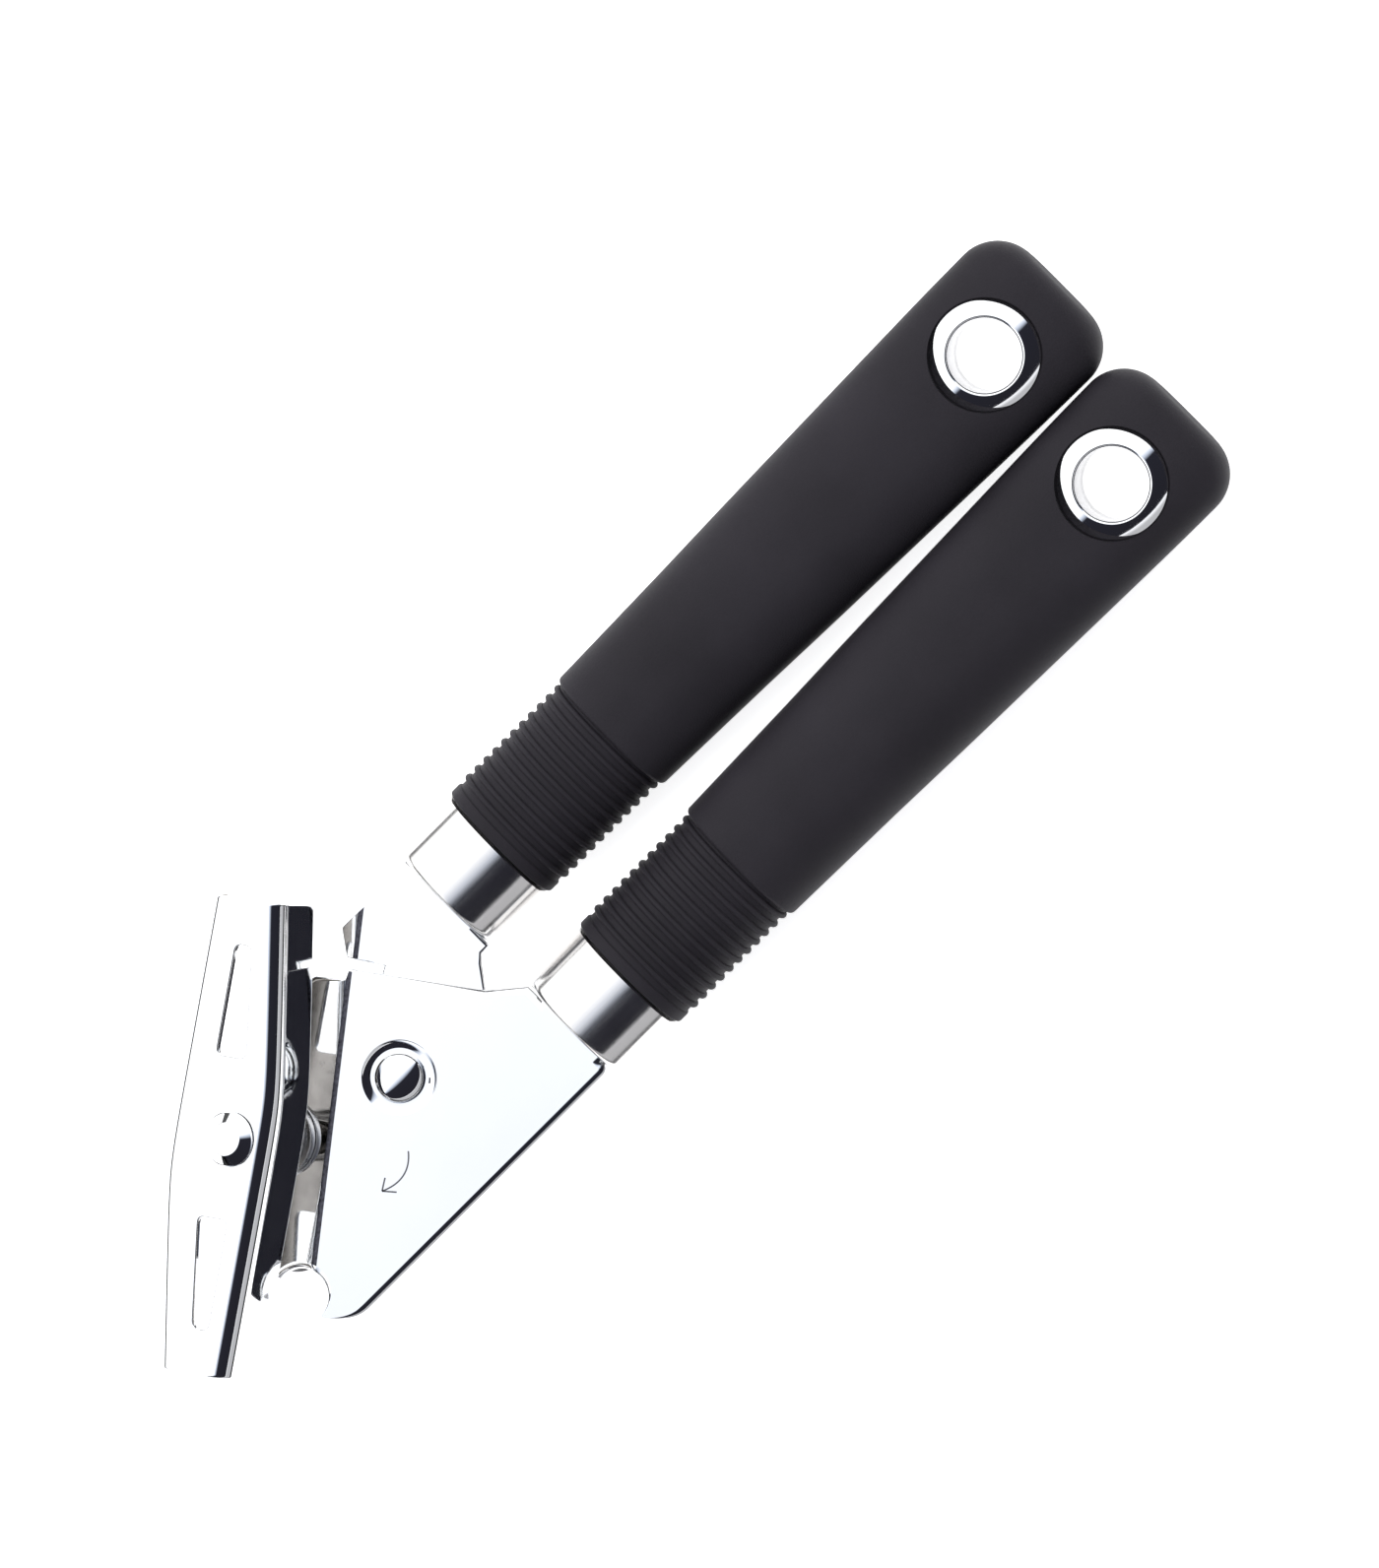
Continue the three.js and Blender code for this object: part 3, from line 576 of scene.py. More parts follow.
def rounded_sheet(name, points, top, wide):
    """A flat sheet with rounded edges, from an outline that runs anticlockwise."""
    layers = []
    for turn in quarter(6):
        inset = EDGE_UNDER * (1 - math.sin(turn))
        layers.append((inset, top - PLATE + EDGE_UNDER * (1 - math.cos(turn))))
    for turn in quarter(6):
        layers.append((wide * (1 - math.cos(turn)), top - EDGE_DEEP * (1 - math.sin(turn))))
    outlines = []
    for inset, z in layers:
        outlines.append([(p[0], p[1], z) for p in inset_outline(points, inset, edge_share)])
    return loft(name, outlines)


def bend(obj, top):
    """Bends the sheet down along the bend line."""
    offset, reach = bend_place(top)
    along = Vector((*head_point(1, 0), 0))
    out = Vector((*head_point(0, 1), 0))
    bm = bmesh.new()
    bm.from_mesh(obj.data)
    bmesh.ops.triangulate(bm, faces=[face for face in bm.faces if len(face.verts) > 4])
    for i in range(BEND_CUTS + 1):
        line = out * (offset - reach + 2 * reach * i / BEND_CUTS)
        everything = bm.verts[:] + bm.edges[:] + bm.faces[:]
        bmesh.ops.bisect_plane(bm, geom=everything, plane_co=line, plane_no=out, dist=1e-4)
    for vert in bm.verts:
        distance = vert.co.dot(out)
        below = top - vert.co.z
        if distance <= offset - reach:
            continue
        share = min(1, (distance - offset + reach) / (2 * reach))
        turn = BEND_DROP * share
        place = vert.co.dot(along) * along
        place += out * (offset - reach + BEND_RADIUS * math.sin(turn))
        place += UP * (top - BEND_RADIUS * (1 - math.cos(turn)))
        slope = out * math.cos(turn) - UP * math.sin(turn)
        normal = out * math.sin(turn) + UP * math.cos(turn)
        past = max(0, distance - offset - reach)
        vert.co = place + slope * past - normal * below
    bm.to_mesh(obj.data)
    bm.free()


def hole_tool(radius, top, flare=HOLE_ROUND):
    """A cutter for a round hole through a sheet, with rounded rims."""
    bottom = top - PLATE
    past = 2
    profile = [(0, bottom - past), (radius + flare, bottom - past)]
    for turn in quarter(4):
        profile.append((radius + flare * (1 - math.sin(turn)), bottom + flare * (1 - math.cos(turn))))
    for turn in quarter(4):
        profile.append((radius + flare * (1 - math.cos(turn)), top - flare * (1 - math.sin(turn))))
    profile += [(radius + flare, top + past), (0, top + past)]
    return turned("hole_tool", profile)


def recess_tool():
    """A dished cutter: a flat floor, a sloping wall and a low rim."""
    rim = RIVET_RECESS_R - 0.1
    edge = RIVET_RECESS_R + 0.1
    past = 2
    profile = [
        (0, -RIVET_RECESS),
        (RIVET_FLOOR_R - 0.2, -RIVET_RECESS),
        (RIVET_FLOOR_R + 0.1, -RIVET_RECESS + 0.06),
        (rim - 0.1, -0.2),
        (rim + 0.05, -0.08),
        (edge, 0),
        (edge, past),
        (0, past),
    ]
    return turned("recess_tool", profile)


def flat_place(along, down, top):
    """A place on the flange, where it is before the sheet is bent."""
    offset, _ = bend_place(top)
    x, y = head_point(along, offset + down)
    return Matrix.Translation((x, y, 0))


def front_plate_outline():
    """Plan points, anticlockwise from the nose."""
    tang_low = FRONT_HANDLE_Y - TANG_HALF
    tang_high = FRONT_HANDLE_Y + TANG_HALF
    nose = (-30.4, -23.2)
    hook = (-36.4, -19.4)
    points = [nose]
    points += arc(24, -21.7, 1.5, -math.pi / 2, 0, 8)
    points += [(25.5, tang_low), (TANG_END, tang_low), (TANG_END, tang_high), (25.5, tang_high)]
    points += [(25.5, -4.3), (20, 0.3)]
    corners = ((16.5, 10.5), (14.8, 10.9), (14.8, 16), (11, 22), (3, 26.8), (-28, 26.8), (-36.6, 20.5))
    points += [head_point(*corner) for corner in corners]
    points += arc(NOTCH_X, NOTCH_Y, NOTCH_R, 1.73, -1.46, 40)
    points += curve(points[-1], (-37.2, -18.6), hook, 6)
    points += curve(hook, (-33.6, -23.2), nose, 12)[:-1]
    return points


def rear_plate_outline():
    """Plan points, anticlockwise. They are listed clockwise, from the tang to the nose and back."""
    tang_low = REAR_HANDLE_Y - TANG_HALF
    tang_high = REAR_HANDLE_Y + TANG_HALF
    points = [(25.5, tang_low), (25.5, 4.75), (23.7, 4.75), (22.5, 3.65), (20, 0.2), (16.5, -4.6)]
    points += curve(points[-1], (10, -10), (0, -10))
    points += curve(points[-1], (-12, -10.5), (-25.5, -14.8))
    corners = (
        (-32.3, 5.5), (-32.3, 22.5), (-30.3, 24.6), (-23.4, 24.6), (-21.4, 22.5), (-21.4, 8.7),
        (-2, 8.7), (17.4, 5.1), (17.9, 11.4), (22.8, 13.1),
    )
    points += [head_point(*corner) for corner in corners]
    points += [(25.5, 24.4), (25.5, tang_high), (TANG_END, tang_high), (TANG_END, tang_low)]
    return points[::-1]


def finish_plate(sheet, node, top):
    bend(sheet, top)
    install(sheet, HEAD, node, "chrome", weighted=True)
    border_flats(sheet, HEAD, (UP, FLANGE_UP))
    # Painted reflection: the bend's upper faces get the near-black plating
    paint_bend_reflection(sheet)


def front_plate():
    outline = unrolled(front_plate_outline(), 0)
    sheet = rounded_sheet("front_plate_sheet", outline, 0, EDGE_WIDE)
    pivot_hole = hole_tool(RIVET_R + GAP, 0, PIVOT_HOLE_ROUND)
    bush_hole = moved(hole_tool(BUSH_R + GAP, 0), flat_place(DRIVE_ALONG, DRIVE_OUT, 0))
    cut(sheet, recess_tool(), pivot_hole, bush_hole)
    finish_plate(sheet, "front_plate", 0)


def rear_plate():
    outline = unrolled(rear_plate_outline(), REAR_TOP)
    sheet = rounded_sheet("rear_plate_sheet", outline, REAR_TOP, REAR_EDGE_WIDE)
    pivot_hole = hole_tool(RIVET_R + GAP, REAR_TOP)
    down = DRIVE_OUT + REAR_TOP * math.tan(BEND_DROP / 2)
    stud_hole = moved(hole_tool(STUD_R + GAP, REAR_TOP), flat_place(CUTTER_ALONG, down, REAR_TOP))
    cut(sheet, pivot_hole, stud_hole)
    finish_plate(sheet, "rear_plate", REAR_TOP)


# ---- Pivot and drive -------------------------------------------------------------------------


def pivot_rivet():
    seat = GAP - RIVET_RECESS
    washer_top = 2 * REAR_TOP
    washer_low = washer_top - WASHER_THICK
    tail = washer_low - GAP
    foot = tail - RIVET_TAIL
    profile = [(0, foot), (RIVET_HEAD_R - RIVET_TAIL_EDGE, foot), (RIVET_HEAD_R, tail), (RIVET_R, tail)]
    profile += [(RIVET_R, seat), (RIVET_HEAD_R - 0.1, seat), (RIVET_HEAD_R, seat + 0.1)]
    dome = [RIVET_HEAD_R * math.cos(turn) for turn in quarter(16)[:-1]] + [0]
    for radius, turn in zip(dome, quarter(16)):
        profile.append((radius, seat + RIVET_RIM + RIVET_DOME * math.sin(turn)))
    install(turned("pivot_rivet_head", profile), HEAD, "pivot_rivet", "chrome")
    washer = ring_piece("pivot_washer_ring", RIVET_R + GAP, WASHER_R, washer_low, washer_top)
    install(washer, HEAD, "pivot_washer", "plain_steel")


def drive_bush():
    low = GAP - FEED_TOP
    bore = SHAFT_R + GAP
    profile = [(bore, low), (BUSH_R, low), (BUSH_R, GAP), (BUSH_COLLAR_R, GAP)]
    profile += [(BUSH_COLLAR_R, BUSH_COLLAR_TOP), (bore, BUSH_COLLAR_TOP)]
    install(turned("drive_bush_flanged", rounded(profile, 0.2)), DRIVE, "drive_bush", "plain_steel")
    washer = ring_piece("key_washer_ring", bore, KEY_WASHER_R, KEY_WASHER_LOW, KEY_WASHER_TOP)
    install(washer, DRIVE, "key_washer", "plain_steel")


def drive_shaft():
    shoulder = KEY_HEIGHT - KEY_SHEET - GAP
    step = -FEED_TOP + 0.05
    head = KEY_HEIGHT + GAP
    profile = [(0, SHAFT_FOOT), (NECK_R, SHAFT_FOOT), (NECK_R, step), (SHAFT_R, step)]
    profile += [(SHAFT_R, SHOULDER_LOW), (SHOULDER_R, SHOULDER_FULL), (SHOULDER_R, shoulder)]
    profile += [(NECK_R, shoulder), (NECK_R, head)]
    profile += [(radius, head + up) for radius, up in SHAFT_HEAD]
    install(disc_piece("drive_shaft_headed", profile, 0.2), DRIVE, "drive_shaft", "chrome")


def feed_wheel():
    outline = []
    for i in range(FEED_TEETH):
        for shift, radius in FEED_TOOTH_SHAPE:
            turn = 2 * math.pi * (i + shift) / FEED_TEETH
            outline.append((radius * math.cos(turn), radius * math.sin(turn)))
    top = -FEED_TOP - GAP + 0.05
    edge = 0.15
    layers = ((edge, FEED_BOTTOM), (0, FEED_BOTTOM + edge), (0, top - edge), (edge, top))
    outlines = [[(p[0], p[1], z) for p in inset_outline(outline, inset)] for inset, z in layers]
    wheel = loft("feed_wheel_toothed", outlines)
    bore = turned("bore_tool", [(0, -FAR), (NECK_R + GAP, -FAR), (NECK_R + GAP, 0), (0, 0)])
    cut(wheel, bore)
    install(wheel, DRIVE, "feed_wheel", "hardened_steel", 25)
    top = FEED_BOTTOM - GAP
    cap = ring_piece("feed_wheel_cap_ring", FEED_CAP_BORE, FEED_CAP_R, FEED_CAP_LOW, top, 0.3)
    install(cap, DRIVE, "feed_wheel_cap", "plain_steel")


def cutter():
    underside = REAR_TOP - PLATE
    top = CUTTER_BOTTOM - GAP
    foot = top - STUD_HEAD
    peened = REAR_TOP - 0.1
    profile = [(0, foot), (STUD_HEAD_R - STUD_HEAD_EDGE, foot), (STUD_HEAD_R, top - STUD_HEAD_EDGE)]
    profile += [(STUD_HEAD_R, top), (STUD_R, top), (STUD_R, peened), (0, peened)]
    install(disc_piece("cutter_stud_headed", profile), CUTTER, "cutter_stud", "plain_steel")
    bore = STUD_R + GAP
    spacer = ring_piece("cutter_spacer_ring", bore, SPACER_R, CUTTER_TOP + GAP, underside - GAP)
    install(spacer, CUTTER, "cutter_spacer", "plain_steel")
    profile = [(bore, CUTTER_BOTTOM), (CUTTER_R - 0.5, CUTTER_BOTTOM), (CUTTER_R, CUTTER_BOTTOM + 0.25)]
    profile += [(CUTTER_R - CUTTER_BEVEL, CUTTER_TOP), (bore, CUTTER_TOP)]
    wheel = turned("cutting_wheel_bevelled", rounded(profile, 0.06), WHEEL_SIDES)
    install(wheel, CUTTER, "cutting_wheel", "hardened_steel", 20)


# ---- Turn key --------------------------------------------------------------------------------


def key_half_width(x):
    """Half the key's width, on the side that is widest at KEY_APEX."""
    away = math.hypot(x - KEY_APEX, KEY_APEX_BLEND) - KEY_APEX_BLEND
    most = KEY_HALF_LENGTH - math.copysign(KEY_APEX, x - KEY_APEX)
    far = math.hypot(most, KEY_APEX_BLEND) - KEY_APEX_BLEND
    return KEY_HALF_WIDTH - (KEY_HALF_WIDTH - KEY_END_HALF_WIDTH) * away / far


def key_depth(x):
    """How deep the key's side is. It gets shallower round the corner at one end."""
    past = max(0, KEY_CORNER - KEY_HALF_LENGTH - x) / KEY_CORNER
    share = math.sqrt(max(0, 1 - past**2))
    return KEY_END_DEPTH + (KEY_DEPTH - KEY_END_DEPTH) * share


def key_side(side, half_width, depth, inset, edge, outer):
    """One side of the section, from its free edge to the flat top."""
    points = []
    rim = KEY_SHEET / 2 - edge
    if outer:
        for turn in quarter(4)[::-1]:
            y = half_width - KEY_SHEET / 2 + rim * math.cos(turn)
            points.append((side * y, -depth + KEY_SHEET / 2 - rim * math.sin(turn)))
    else:
        for turn in quarter(4)[:-1]:
            y = half_width - KEY_SHEET / 2 - rim * math.cos(turn)
            points.append((side * y, -depth + KEY_SHEET / 2 - rim * math.sin(turn)))
        points.reverse()
    centre = half_width - KEY_SHOULDER
    radius = KEY_SHOULDER - inset
    for turn in quarter(12):
        y = side * (centre + radius * math.cos(turn))
        points.append((y, -KEY_SHOULDER + radius * math.sin(turn)))
    return points


def key_outline(x):
    """The channel's section at x, with its edges rounded towards the key's ends."""
    past = max(0, abs(x) - KEY_HALF_LENGTH + KEY_EDGE)
    edge = KEY_EDGE - math.sqrt(max(0, KEY_EDGE**2 - past**2))
    near = (-1, key_half_width(x), key_depth(x))
    far = (1, key_half_width(-x), key_depth(-x))
    section = key_side(*far, edge, edge, True)
    section += key_side(*near, edge, edge, True)[::-1]
    section += key_side(*near, KEY_SHEET - edge, edge, False)
    section += key_side(*far, KEY_SHEET - edge, edge, False)[::-1]
    return [(x, y, z) for y, z in section]


def key_slot_tool(turn):
    corners = [
        (KEY_SLOT_NEAR, -KEY_SLOT_NEAR_HALF),
        (KEY_SLOT_FAR, -KEY_SLOT_FAR_HALF),
        (KEY_SLOT_FAR, KEY_SLOT_FAR_HALF),
        (KEY_SLOT_NEAR, KEY_SLOT_NEAR_HALF),
    ]
    outline = rounded(corners, KEY_SLOT_CORNER, steps=8)
    flare = KEY_SLOT_ROUND
    past = 3
    layers = [(-flare, -past), (-flare, -KEY_SHEET)]
    for angle in quarter(4):
        inset = -flare * (1 - math.sin(angle))
        layers.append((inset, -KEY_SHEET + flare * (1 - math.cos(angle))))
    for angle in quarter(4):
        layers.append((-flare * (1 - math.cos(angle)), -flare * (1 - math.sin(angle))))
    layers.append((-flare, past))
    outlines = [[(p[0], p[1], z) for p in inset_outline(outline, inset)] for inset, z in layers]
    tool = loft("slot_tool", outlines)
    return moved(tool, Matrix.Translation((0, KEY_SLOT_Y, 0)) @ Matrix.Rotation(turn, 4, "Z"))


def turn_key():
    steps = 110
    past = 3
    turns = [math.pi / 2 * (2 * i / steps - 1) for i in range(steps + 1)]
    stations = [KEY_HALF_LENGTH * math.sin(turn) for turn in turns]
    key = loft("turn_key_channel", [key_outline(x) for x in stations])
    hub = turned("hub_tool", [(0, -past), (NECK_R + GAP, -past), (NECK_R + GAP, past), (0, past)])
    moved(hub, Matrix.Translation((0, -KEY_SHIFT, 0)))
    cut(key, key_slot_tool(0), key_slot_tool(math.pi), hub)
    install(key, KEY, "turn_key", "chrome", weighted=True)
    border_flats(key, KEY, (UP,))
    # Painted shade: inside the channel the faces get a darker plating
    key.data.materials.append(channel_shade_plating)
    to_key = (PLACE @ KEY).inverted()
    for face in key.data.polygons:
        place = to_key @ face.center
        half_width = key_half_width(-place.x if place.y > 0 else place.x)
        if place.z < 0.1 - KEY_SHEET and abs(place.y) < half_width - KEY_SHEET + 0.1:
            face.material_index = 1


# ---- Handles ---------------------------------------------------------------------------------


def superellipse(half_width, half_thick, power):
    """A closed outline between an ellipse, at power 2, and a rectangle."""
    outline = []
    for i in range(GRIP_SIDES):
        turn = 2 * math.pi * i / GRIP_SIDES
        c = math.cos(turn)
        s = math.sin(turn)
        y = half_width * math.copysign(abs(c) ** (2 / power), c)
        outline.append((y, half_thick * math.copysign(abs(s) ** (2 / power), s)))
    return outline


def spline(points, x):
    """A Catmull-Rom curve through the points, evaluated at x."""
    k = max(i for i in range(len(points) - 1) if points[i][0] <= x or i == 0)
    t = (x - points[k][0]) / (points[k + 1][0] - points[k][0])
    a, b, c, d = [points[max(0, min(len(points) - 1, k + j))][1] for j in (-1, 0, 1, 2)]
    cubic = (3 * b - a - 3 * c + d) * t**3 + (2 * a - 5 * b + 4 * c - d) * t**2 + (c - a) * t
    return b + 0.5 * cubic


def end_rounding(x, radius):
    """How far a round end of this radius takes the grip in at x."""
    past = max(0, x - (GRIP_END - radius))
    return radius - math.sqrt(max(0, radius**2 - past**2))


def grip_section(x):
    half_width = spline(GRIP_WIDTH, x) - end_rounding(x, GRIP_CORNER)
    half_thick = spline(GRIP_THICK, x) - end_rounding(x, GRIP_EDGE)
    share = (x - FERRULE_END) / (GRIP_END - FERRULE_END)
    power = GRIP_POWERS[0] + (GRIP_POWERS[1] - GRIP_POWERS[0]) * share
    return [(x, y, z) for y, z in superellipse(half_width, half_thick, power)]


def ribbed_section(x, half_width):
    section = superellipse(half_width, half_width - RIB_FLATTER, GRIP_POWERS[0])
    return [(x, y, z) for y, z in section]


def blend_sections(low, full, share):
    return [(a[0], a[1] + share * (b[1] - a[1]), a[2] + share * (b[2] - a[2])) for a, b in zip(low, full)]


def grip_skin(name):
    """The sleeve: a plain lip, ribs, a shoulder, and the smooth grip with its round end."""
    sections = []
    lip = COLLAR_LIP
    for turn in quarter(4):
        x = COLLAR_START + lip * (1 - math.cos(turn))
        sections.append(ribbed_section(x, COLLAR_HALF - lip * (1 - math.sin(turn))))
    for turn in quarter(4):
        x = COLLAR_END - lip * (1 - math.sin(turn))
        sections.append(ribbed_section(x, COLLAR_HALF - lip * (1 - math.cos(turn))))
    for i in range(RIB_COUNT):
        crest = RIB_FIRST + i * RIB_PITCH
        for k in range(13):
            turn = math.pi * k / 12
            height = (RIB_CREST - RIB_TROUGH) * math.sin(turn)
            sections.append(ribbed_section(crest - RIB_HALF * math.cos(turn), RIB_TROUGH + height))
    sections.append(ribbed_section(SMOOTH_START - 0.25, RIB_TROUGH))
    for turn in quarter(6):
        x = SMOOTH_START - 0.2 + GRIP_SHOULDER * (1 - math.cos(turn))
        low = ribbed_section(x, RIB_TROUGH)
        sections.append(blend_sections(low, grip_section(x), 0.2 + 0.8 * math.sin(turn)))
    x = SMOOTH_START + 2
    while x < GRIP_END - GRIP_CORNER:
        sections.append(grip_section(x))
        x += GRIP_STEP
    for turn in quarter(20):
        sections.append(grip_section(GRIP_END - GRIP_CORNER + GRIP_CORNER * math.sin(turn)))
    return loft(name, sections)


def ferrule(name, middle):
    """The metal collar, with a slot for the tang at this height."""
    sections = []
    stations = []
    for turn in quarter(8):
        x = FERRULE_START + FERRULE_ROUND * (1 - math.cos(turn))
        stations.append((x, FERRULE_ROUND * (1 - math.sin(turn))))
    stations += [(FERRULE_END - 0.2, 0), (FERRULE_END, 0.2)]
    for x, taken in stations:
        section = superellipse(FERRULE_HALF_WIDTH - taken, FERRULE_HALF_THICK - taken, GRIP_POWERS[0])
        sections.append([(x, y, z) for y, z in section])
    body = loft(name, sections)
    half_slot = PLATE / 2 + GAP
    half_width = TANG_HALF + TANG_ROOM
    corners = ((-half_width, middle - half_slot), (half_width, middle - half_slot))
    corners += ((half_width, middle + half_slot), (-half_width, middle + half_slot))
    reach = (FERRULE_START - 1, FERRULE_START + 3)
    tool = loft("tang_tool", [[(x, y, z) for y, z in corners] for x in reach])
    return cut(body, tool)


def eyelet(name):
    face = EYELET_SEAT + GAP
    profile = [
        (EYELET_BORE, -EYELET_SEAT - 0.2),
        (EYELET_BORE + SKIN, -EYELET_SEAT - 0.2),
        (EYELET_BORE + SKIN, face - 0.2),
        (EYELET_OUTER, face - 0.2),
        (EYELET_OUTER, face + 0.05),
        (EYELET_BORE + 0.4, face + 1.42),
        (EYELET_BORE, face + 1.05),
    ]
    return turned(name, rounded(profile, 0.22))


def eyelet_back(name):
    face = -EYELET_SEAT - GAP
    profile = [
        (EYELET_BORE + 0.2, face - 0.9),
        (EYELET_BORE + 1.1, face - 1.2),
        (EYELET_OUTER - 1.1, face - 1.2),
        (EYELET_OUTER, face - 0.5),
        (EYELET_OUTER, face),
        (EYELET_BORE + SKIN + GAP, face),
        (EYELET_BORE + SKIN + GAP, -EYELET_SEAT - 0.5),
        (EYELET_BORE + 0.2, -EYELET_SEAT - 0.5),
    ]
    return turned(name, rounded(profile, 0.2))


def handle(prefix, matrix, top):
    """Every piece of one handle, whose plate has its top at this height."""
    middle = top - PLATE / 2 - HANDLE_Z
    install(ferrule(prefix + "_ferrule_polished", middle), matrix, prefix + "_ferrule", "polished_steel")
    skin = grip_skin(prefix + "_grip_soft")
    seat = EYELET_OUTER + GAP
    bore = EYELET_BORE + SKIN + GAP
    profile = [(0, -FAR), (seat, -FAR), (seat, -EYELET_SEAT), (bore, -EYELET_SEAT)]
    profile += [(bore, EYELET_SEAT), (seat, EYELET_SEAT), (seat, FAR), (0, FAR)]
    tool = moved(turned("eyelet_tool", profile), Matrix.Translation((EYELET_X, 0, 0)))
    install(cut(skin, tool), matrix, prefix + "_grip", "soft_grip", 40)
    at_hole = matrix @ Matrix.Translation((EYELET_X, 0, 0))
    ring = install(eyelet(prefix + "_eyelet_ring"), at_hole, prefix + "_eyelet", "chrome")
    # Painted shade: the barrel, below the funnel, gets a darker plating
    ring.data.materials.append(bore_shade_plating)
    to_ring = (PLACE @ at_hole).inverted()
    for face in ring.data.polygons:
        place = to_ring @ face.center
        if math.hypot(place.x, place.y) < EYELET_BORE + 0.05 and place.z < EYELET_SEAT + GAP:
            face.material_index = 1
    install(eyelet_back(prefix + "_eyelet_back_ring"), at_hole, prefix + "_eyelet_back", "chrome")
    core = frame["nodes"][prefix + "_core"]
    core.data.materials.clear()
    core.data.materials.append(core_plastic)


# ---- Direction arrow, etched on the front plate -----------------------------------------------


def direction_arrow():
    bm = bmesh.new()

    def stroke(points):
        left = []
        right = []
        for i, point in enumerate(points):
            here = Vector(point)
            ahead = Vector(points[min(i + 1, len(points) - 1)]) - Vector(points[max(i - 1, 0)])
            side = Vector((-ahead.y, ahead.x)).normalized() * ARROW_HALF_WIDTH
            left.append(here + side)
            right.append(here - side)
        rows = []
        for a, b in zip(left, right):
            corners = ((a, -ARROW_DEEP), (b, -ARROW_DEEP), (b, ARROW_PROUD), (a, ARROW_PROUD))
            rows.append([bm.verts.new((p.x, p.y, z)) for p, z in corners])
        for a, b in zip(rows, rows[1:]):
            for k in range(4):
                bm.faces.new((a[k - 1], a[k], b[k], b[k - 1]))
        bm.faces.new(rows[0])
        bm.faces.new(rows[-1])

    stroke([ARROW_TAIL] + curve(ARROW_TAIL, ARROW_BEND, ARROW_TIP, 16))
    stroke([ARROW_BARBS[0], ARROW_TIP])
    stroke([ARROW_TIP, ARROW_BARBS[1]])
    arrow = mesh_object("direction_arrow", bm)
    arrow.data.transform(PLACE)
    sharpen(arrow, 30)
    arrow.data.materials.append(etched)
    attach(arrow, "front_lever")


front_plate()
rear_plate()
pivot_rivet()
drive_bush()
drive_shaft()
feed_wheel()
cutter()
turn_key()
handle("front", FRONT_HANDLE, 0)
handle("rear", REAR_HANDLE, REAR_TOP)
direction_arrow()

# ---- Floor -----------------------------------------------------------------------------------

FLOOR_HALF = 3
FLOOR_GLOW = 0.85
FLOOR_BELOW = 0.0001
floor_mesh = bpy.data.meshes.new("floor")
floor_z = cad_low.z - FLOOR_BELOW
floor_corners = [(x * FLOOR_HALF, y * FLOOR_HALF, floor_z) for x, y in ((-1, -1), (1, -1), (1, 1), (-1, 1))]
floor_mesh.from_pydata(floor_corners, [], [(0, 1, 2, 3)])
floor = bpy.data.objects.new("floor", floor_mesh)
bpy.context.scene.collection.objects.link(floor)
floor_paper = finish_material("floor_paper", (0.93, 0.93, 0.93), 0, 0.7, 0.05, 0.004, 6, 800, 0.02)
floor_shader = floor_paper.node_tree.nodes["Principled BSDF"]
floor_shader.inputs["Emission Color"].default_value = (1, 1, 1, 1)
floor_shader.inputs["Emission Strength"].default_value = FLOOR_GLOW
floor_mesh.materials.append(floor_paper)

# ---- Studio ----------------------------------------------------------------------------------

# The sky is a white overhead light, with a dark strip along the handles on their -Y side. Beyond the strip
# there is a pale card that fades to grey, and all round the horizon the light is dim.
SKY_WHITE = 1.55
SKY_DIM = 0.1
HORIZON = 0.17
HORIZON_BLUR = 0.02
STRIP_NEAR = -0.07
STRIP_FAR = -1.3
SKY_FROM = -1.5
SKY_TO = 0.5
SKY_STOPS = (  # slope towards +Y, colour
    (SKY_FROM, (0.36, 0.36, 0.37)),
    (STRIP_FAR - 0.03, (0.8, 0.8, 0.82)),
    (STRIP_FAR, (0.012, 0.012, 0.016)),
    (STRIP_NEAR - 0.07, (0.014, 0.014, 0.02)),
    (STRIP_NEAR + 0.02, (0.4, 0.44, 0.52)),
    (STRIP_NEAR + 0.115, (0.765, 0.785, 0.83)),
    (STRIP_NEAR + 0.15, (1, 1, 1)),
)


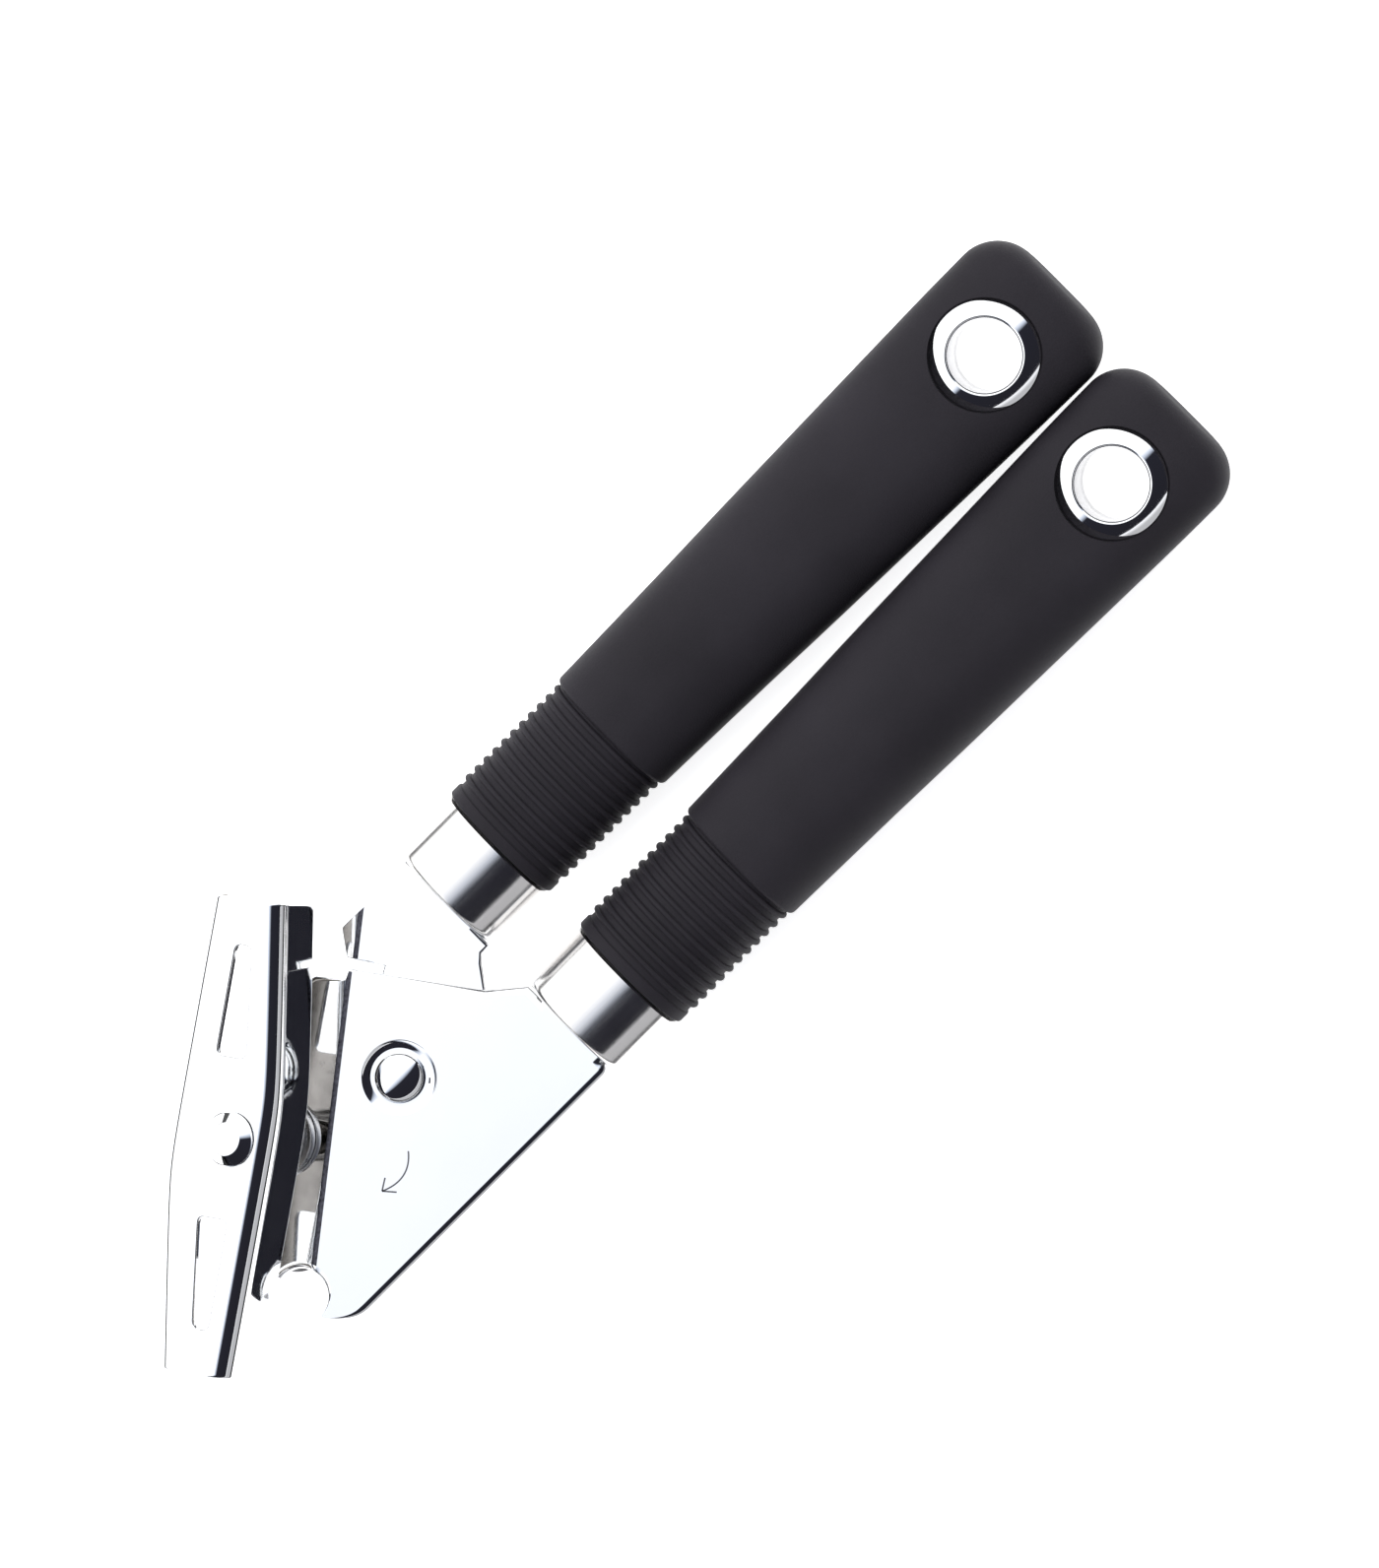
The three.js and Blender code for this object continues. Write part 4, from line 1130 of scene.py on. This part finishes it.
def studio_world():
    world = bpy.data.worlds.new("studio")
    bpy.context.scene.world = world
    world.use_nodes = True
    nodes = world.node_tree.nodes
    links = world.node_tree.links
    background = nodes["Background"]
    place = nodes.new("ShaderNodeTexCoord")
    parts = nodes.new("ShaderNodeSeparateXYZ")
    links.new(place.outputs["Generated"], parts.inputs["Vector"])
    height = nodes.new("ShaderNodeMath")
    height.operation = "MAXIMUM"
    height.inputs[1].default_value = 0.01
    links.new(parts.outputs["Z"], height.inputs[0])
    ratio = nodes.new("ShaderNodeMath")
    ratio.operation = "DIVIDE"
    links.new(parts.outputs["Y"], ratio.inputs[0])
    links.new(height.outputs["Value"], ratio.inputs[1])
    # One ramp over the slope from -Y to +Y: card, dark strip, overhead light
    ranged = nodes.new("ShaderNodeMapRange")
    ranged.inputs["From Min"].default_value = SKY_FROM
    ranged.inputs["From Max"].default_value = SKY_TO
    links.new(ratio.outputs["Value"], ranged.inputs["Value"])
    ramp = nodes.new("ShaderNodeValToRGB")
    elements = ramp.color_ramp.elements
    while len(elements) < len(SKY_STOPS):
        elements.new(0.5)
    for element, (at, colour) in zip(elements, SKY_STOPS):
        element.position = (at - SKY_FROM) / (SKY_TO - SKY_FROM)
        element.color = (*colour, 1)
    links.new(ranged.outputs["Result"], ramp.inputs["Fac"])
    low = nodes.new("ShaderNodeMapRange")
    low.inputs["From Min"].default_value = HORIZON - HORIZON_BLUR
    low.inputs["From Max"].default_value = HORIZON + HORIZON_BLUR
    low.inputs["To Min"].default_value = SKY_DIM
    low.inputs["To Max"].default_value = SKY_WHITE
    links.new(parts.outputs["Z"], low.inputs["Value"])
    links.new(ramp.outputs["Color"], background.inputs["Color"])
    links.new(low.outputs["Result"], background.inputs["Strength"])


studio_world()

FILL_FROM = (0.1, 0.7, 1.2)
FILL_POWER = 4
FILL_SIZE = 1.2
light_data = bpy.data.lights.new("soft_fill", "AREA")
light_data.energy = FILL_POWER
light_data.size = FILL_SIZE
soft_fill = bpy.data.objects.new("soft_fill", light_data)
bpy.context.scene.collection.objects.link(soft_fill)
soft_fill.location = FILL_FROM
soft_fill.rotation_euler = (-math.atan2(FILL_FROM[1], FILL_FROM[2]), 0, 0)
soft_fill.visible_glossy = False

# ---- Camera ----------------------------------------------------------------------------------

# It looks down on the opener from a little towards the handles' ends, turned so that they rise to the
# right.
VIEW_FROM = Vector((0.12, -0.04, 1)).normalized()
DISTANCE = 2.4
LONG_SIDE = 0.2537  # of the picture, in metres, at the opener
AIM = (67.5, 0.45, 0)  # in mm from the pivot
ROLL = math.radians(0.38)
SENSOR = 36

camera_data = bpy.data.cameras.new("camera")
camera_data.sensor_width = SENSOR
camera_data.lens = SENSOR * DISTANCE / LONG_SIDE
camera_data.clip_start = 0.1
camera_data.clip_end = 20
camera = bpy.data.objects.new("camera", camera_data)
bpy.context.scene.collection.objects.link(camera)
bpy.context.scene.camera = camera
right = Vector((1, -1, 0))
right = (right - right.dot(VIEW_FROM) * VIEW_FROM).normalized()
above = VIEW_FROM.cross(right)
turn = Matrix((right, above, VIEW_FROM)).transposed().to_4x4() @ Matrix.Rotation(ROLL, 4, "Z")
camera.matrix_world = Matrix.Translation(PLACE @ Vector(AIM) + VIEW_FROM * DISTANCE) @ turn

bpy.context.scene.view_settings.view_transform = "Standard"
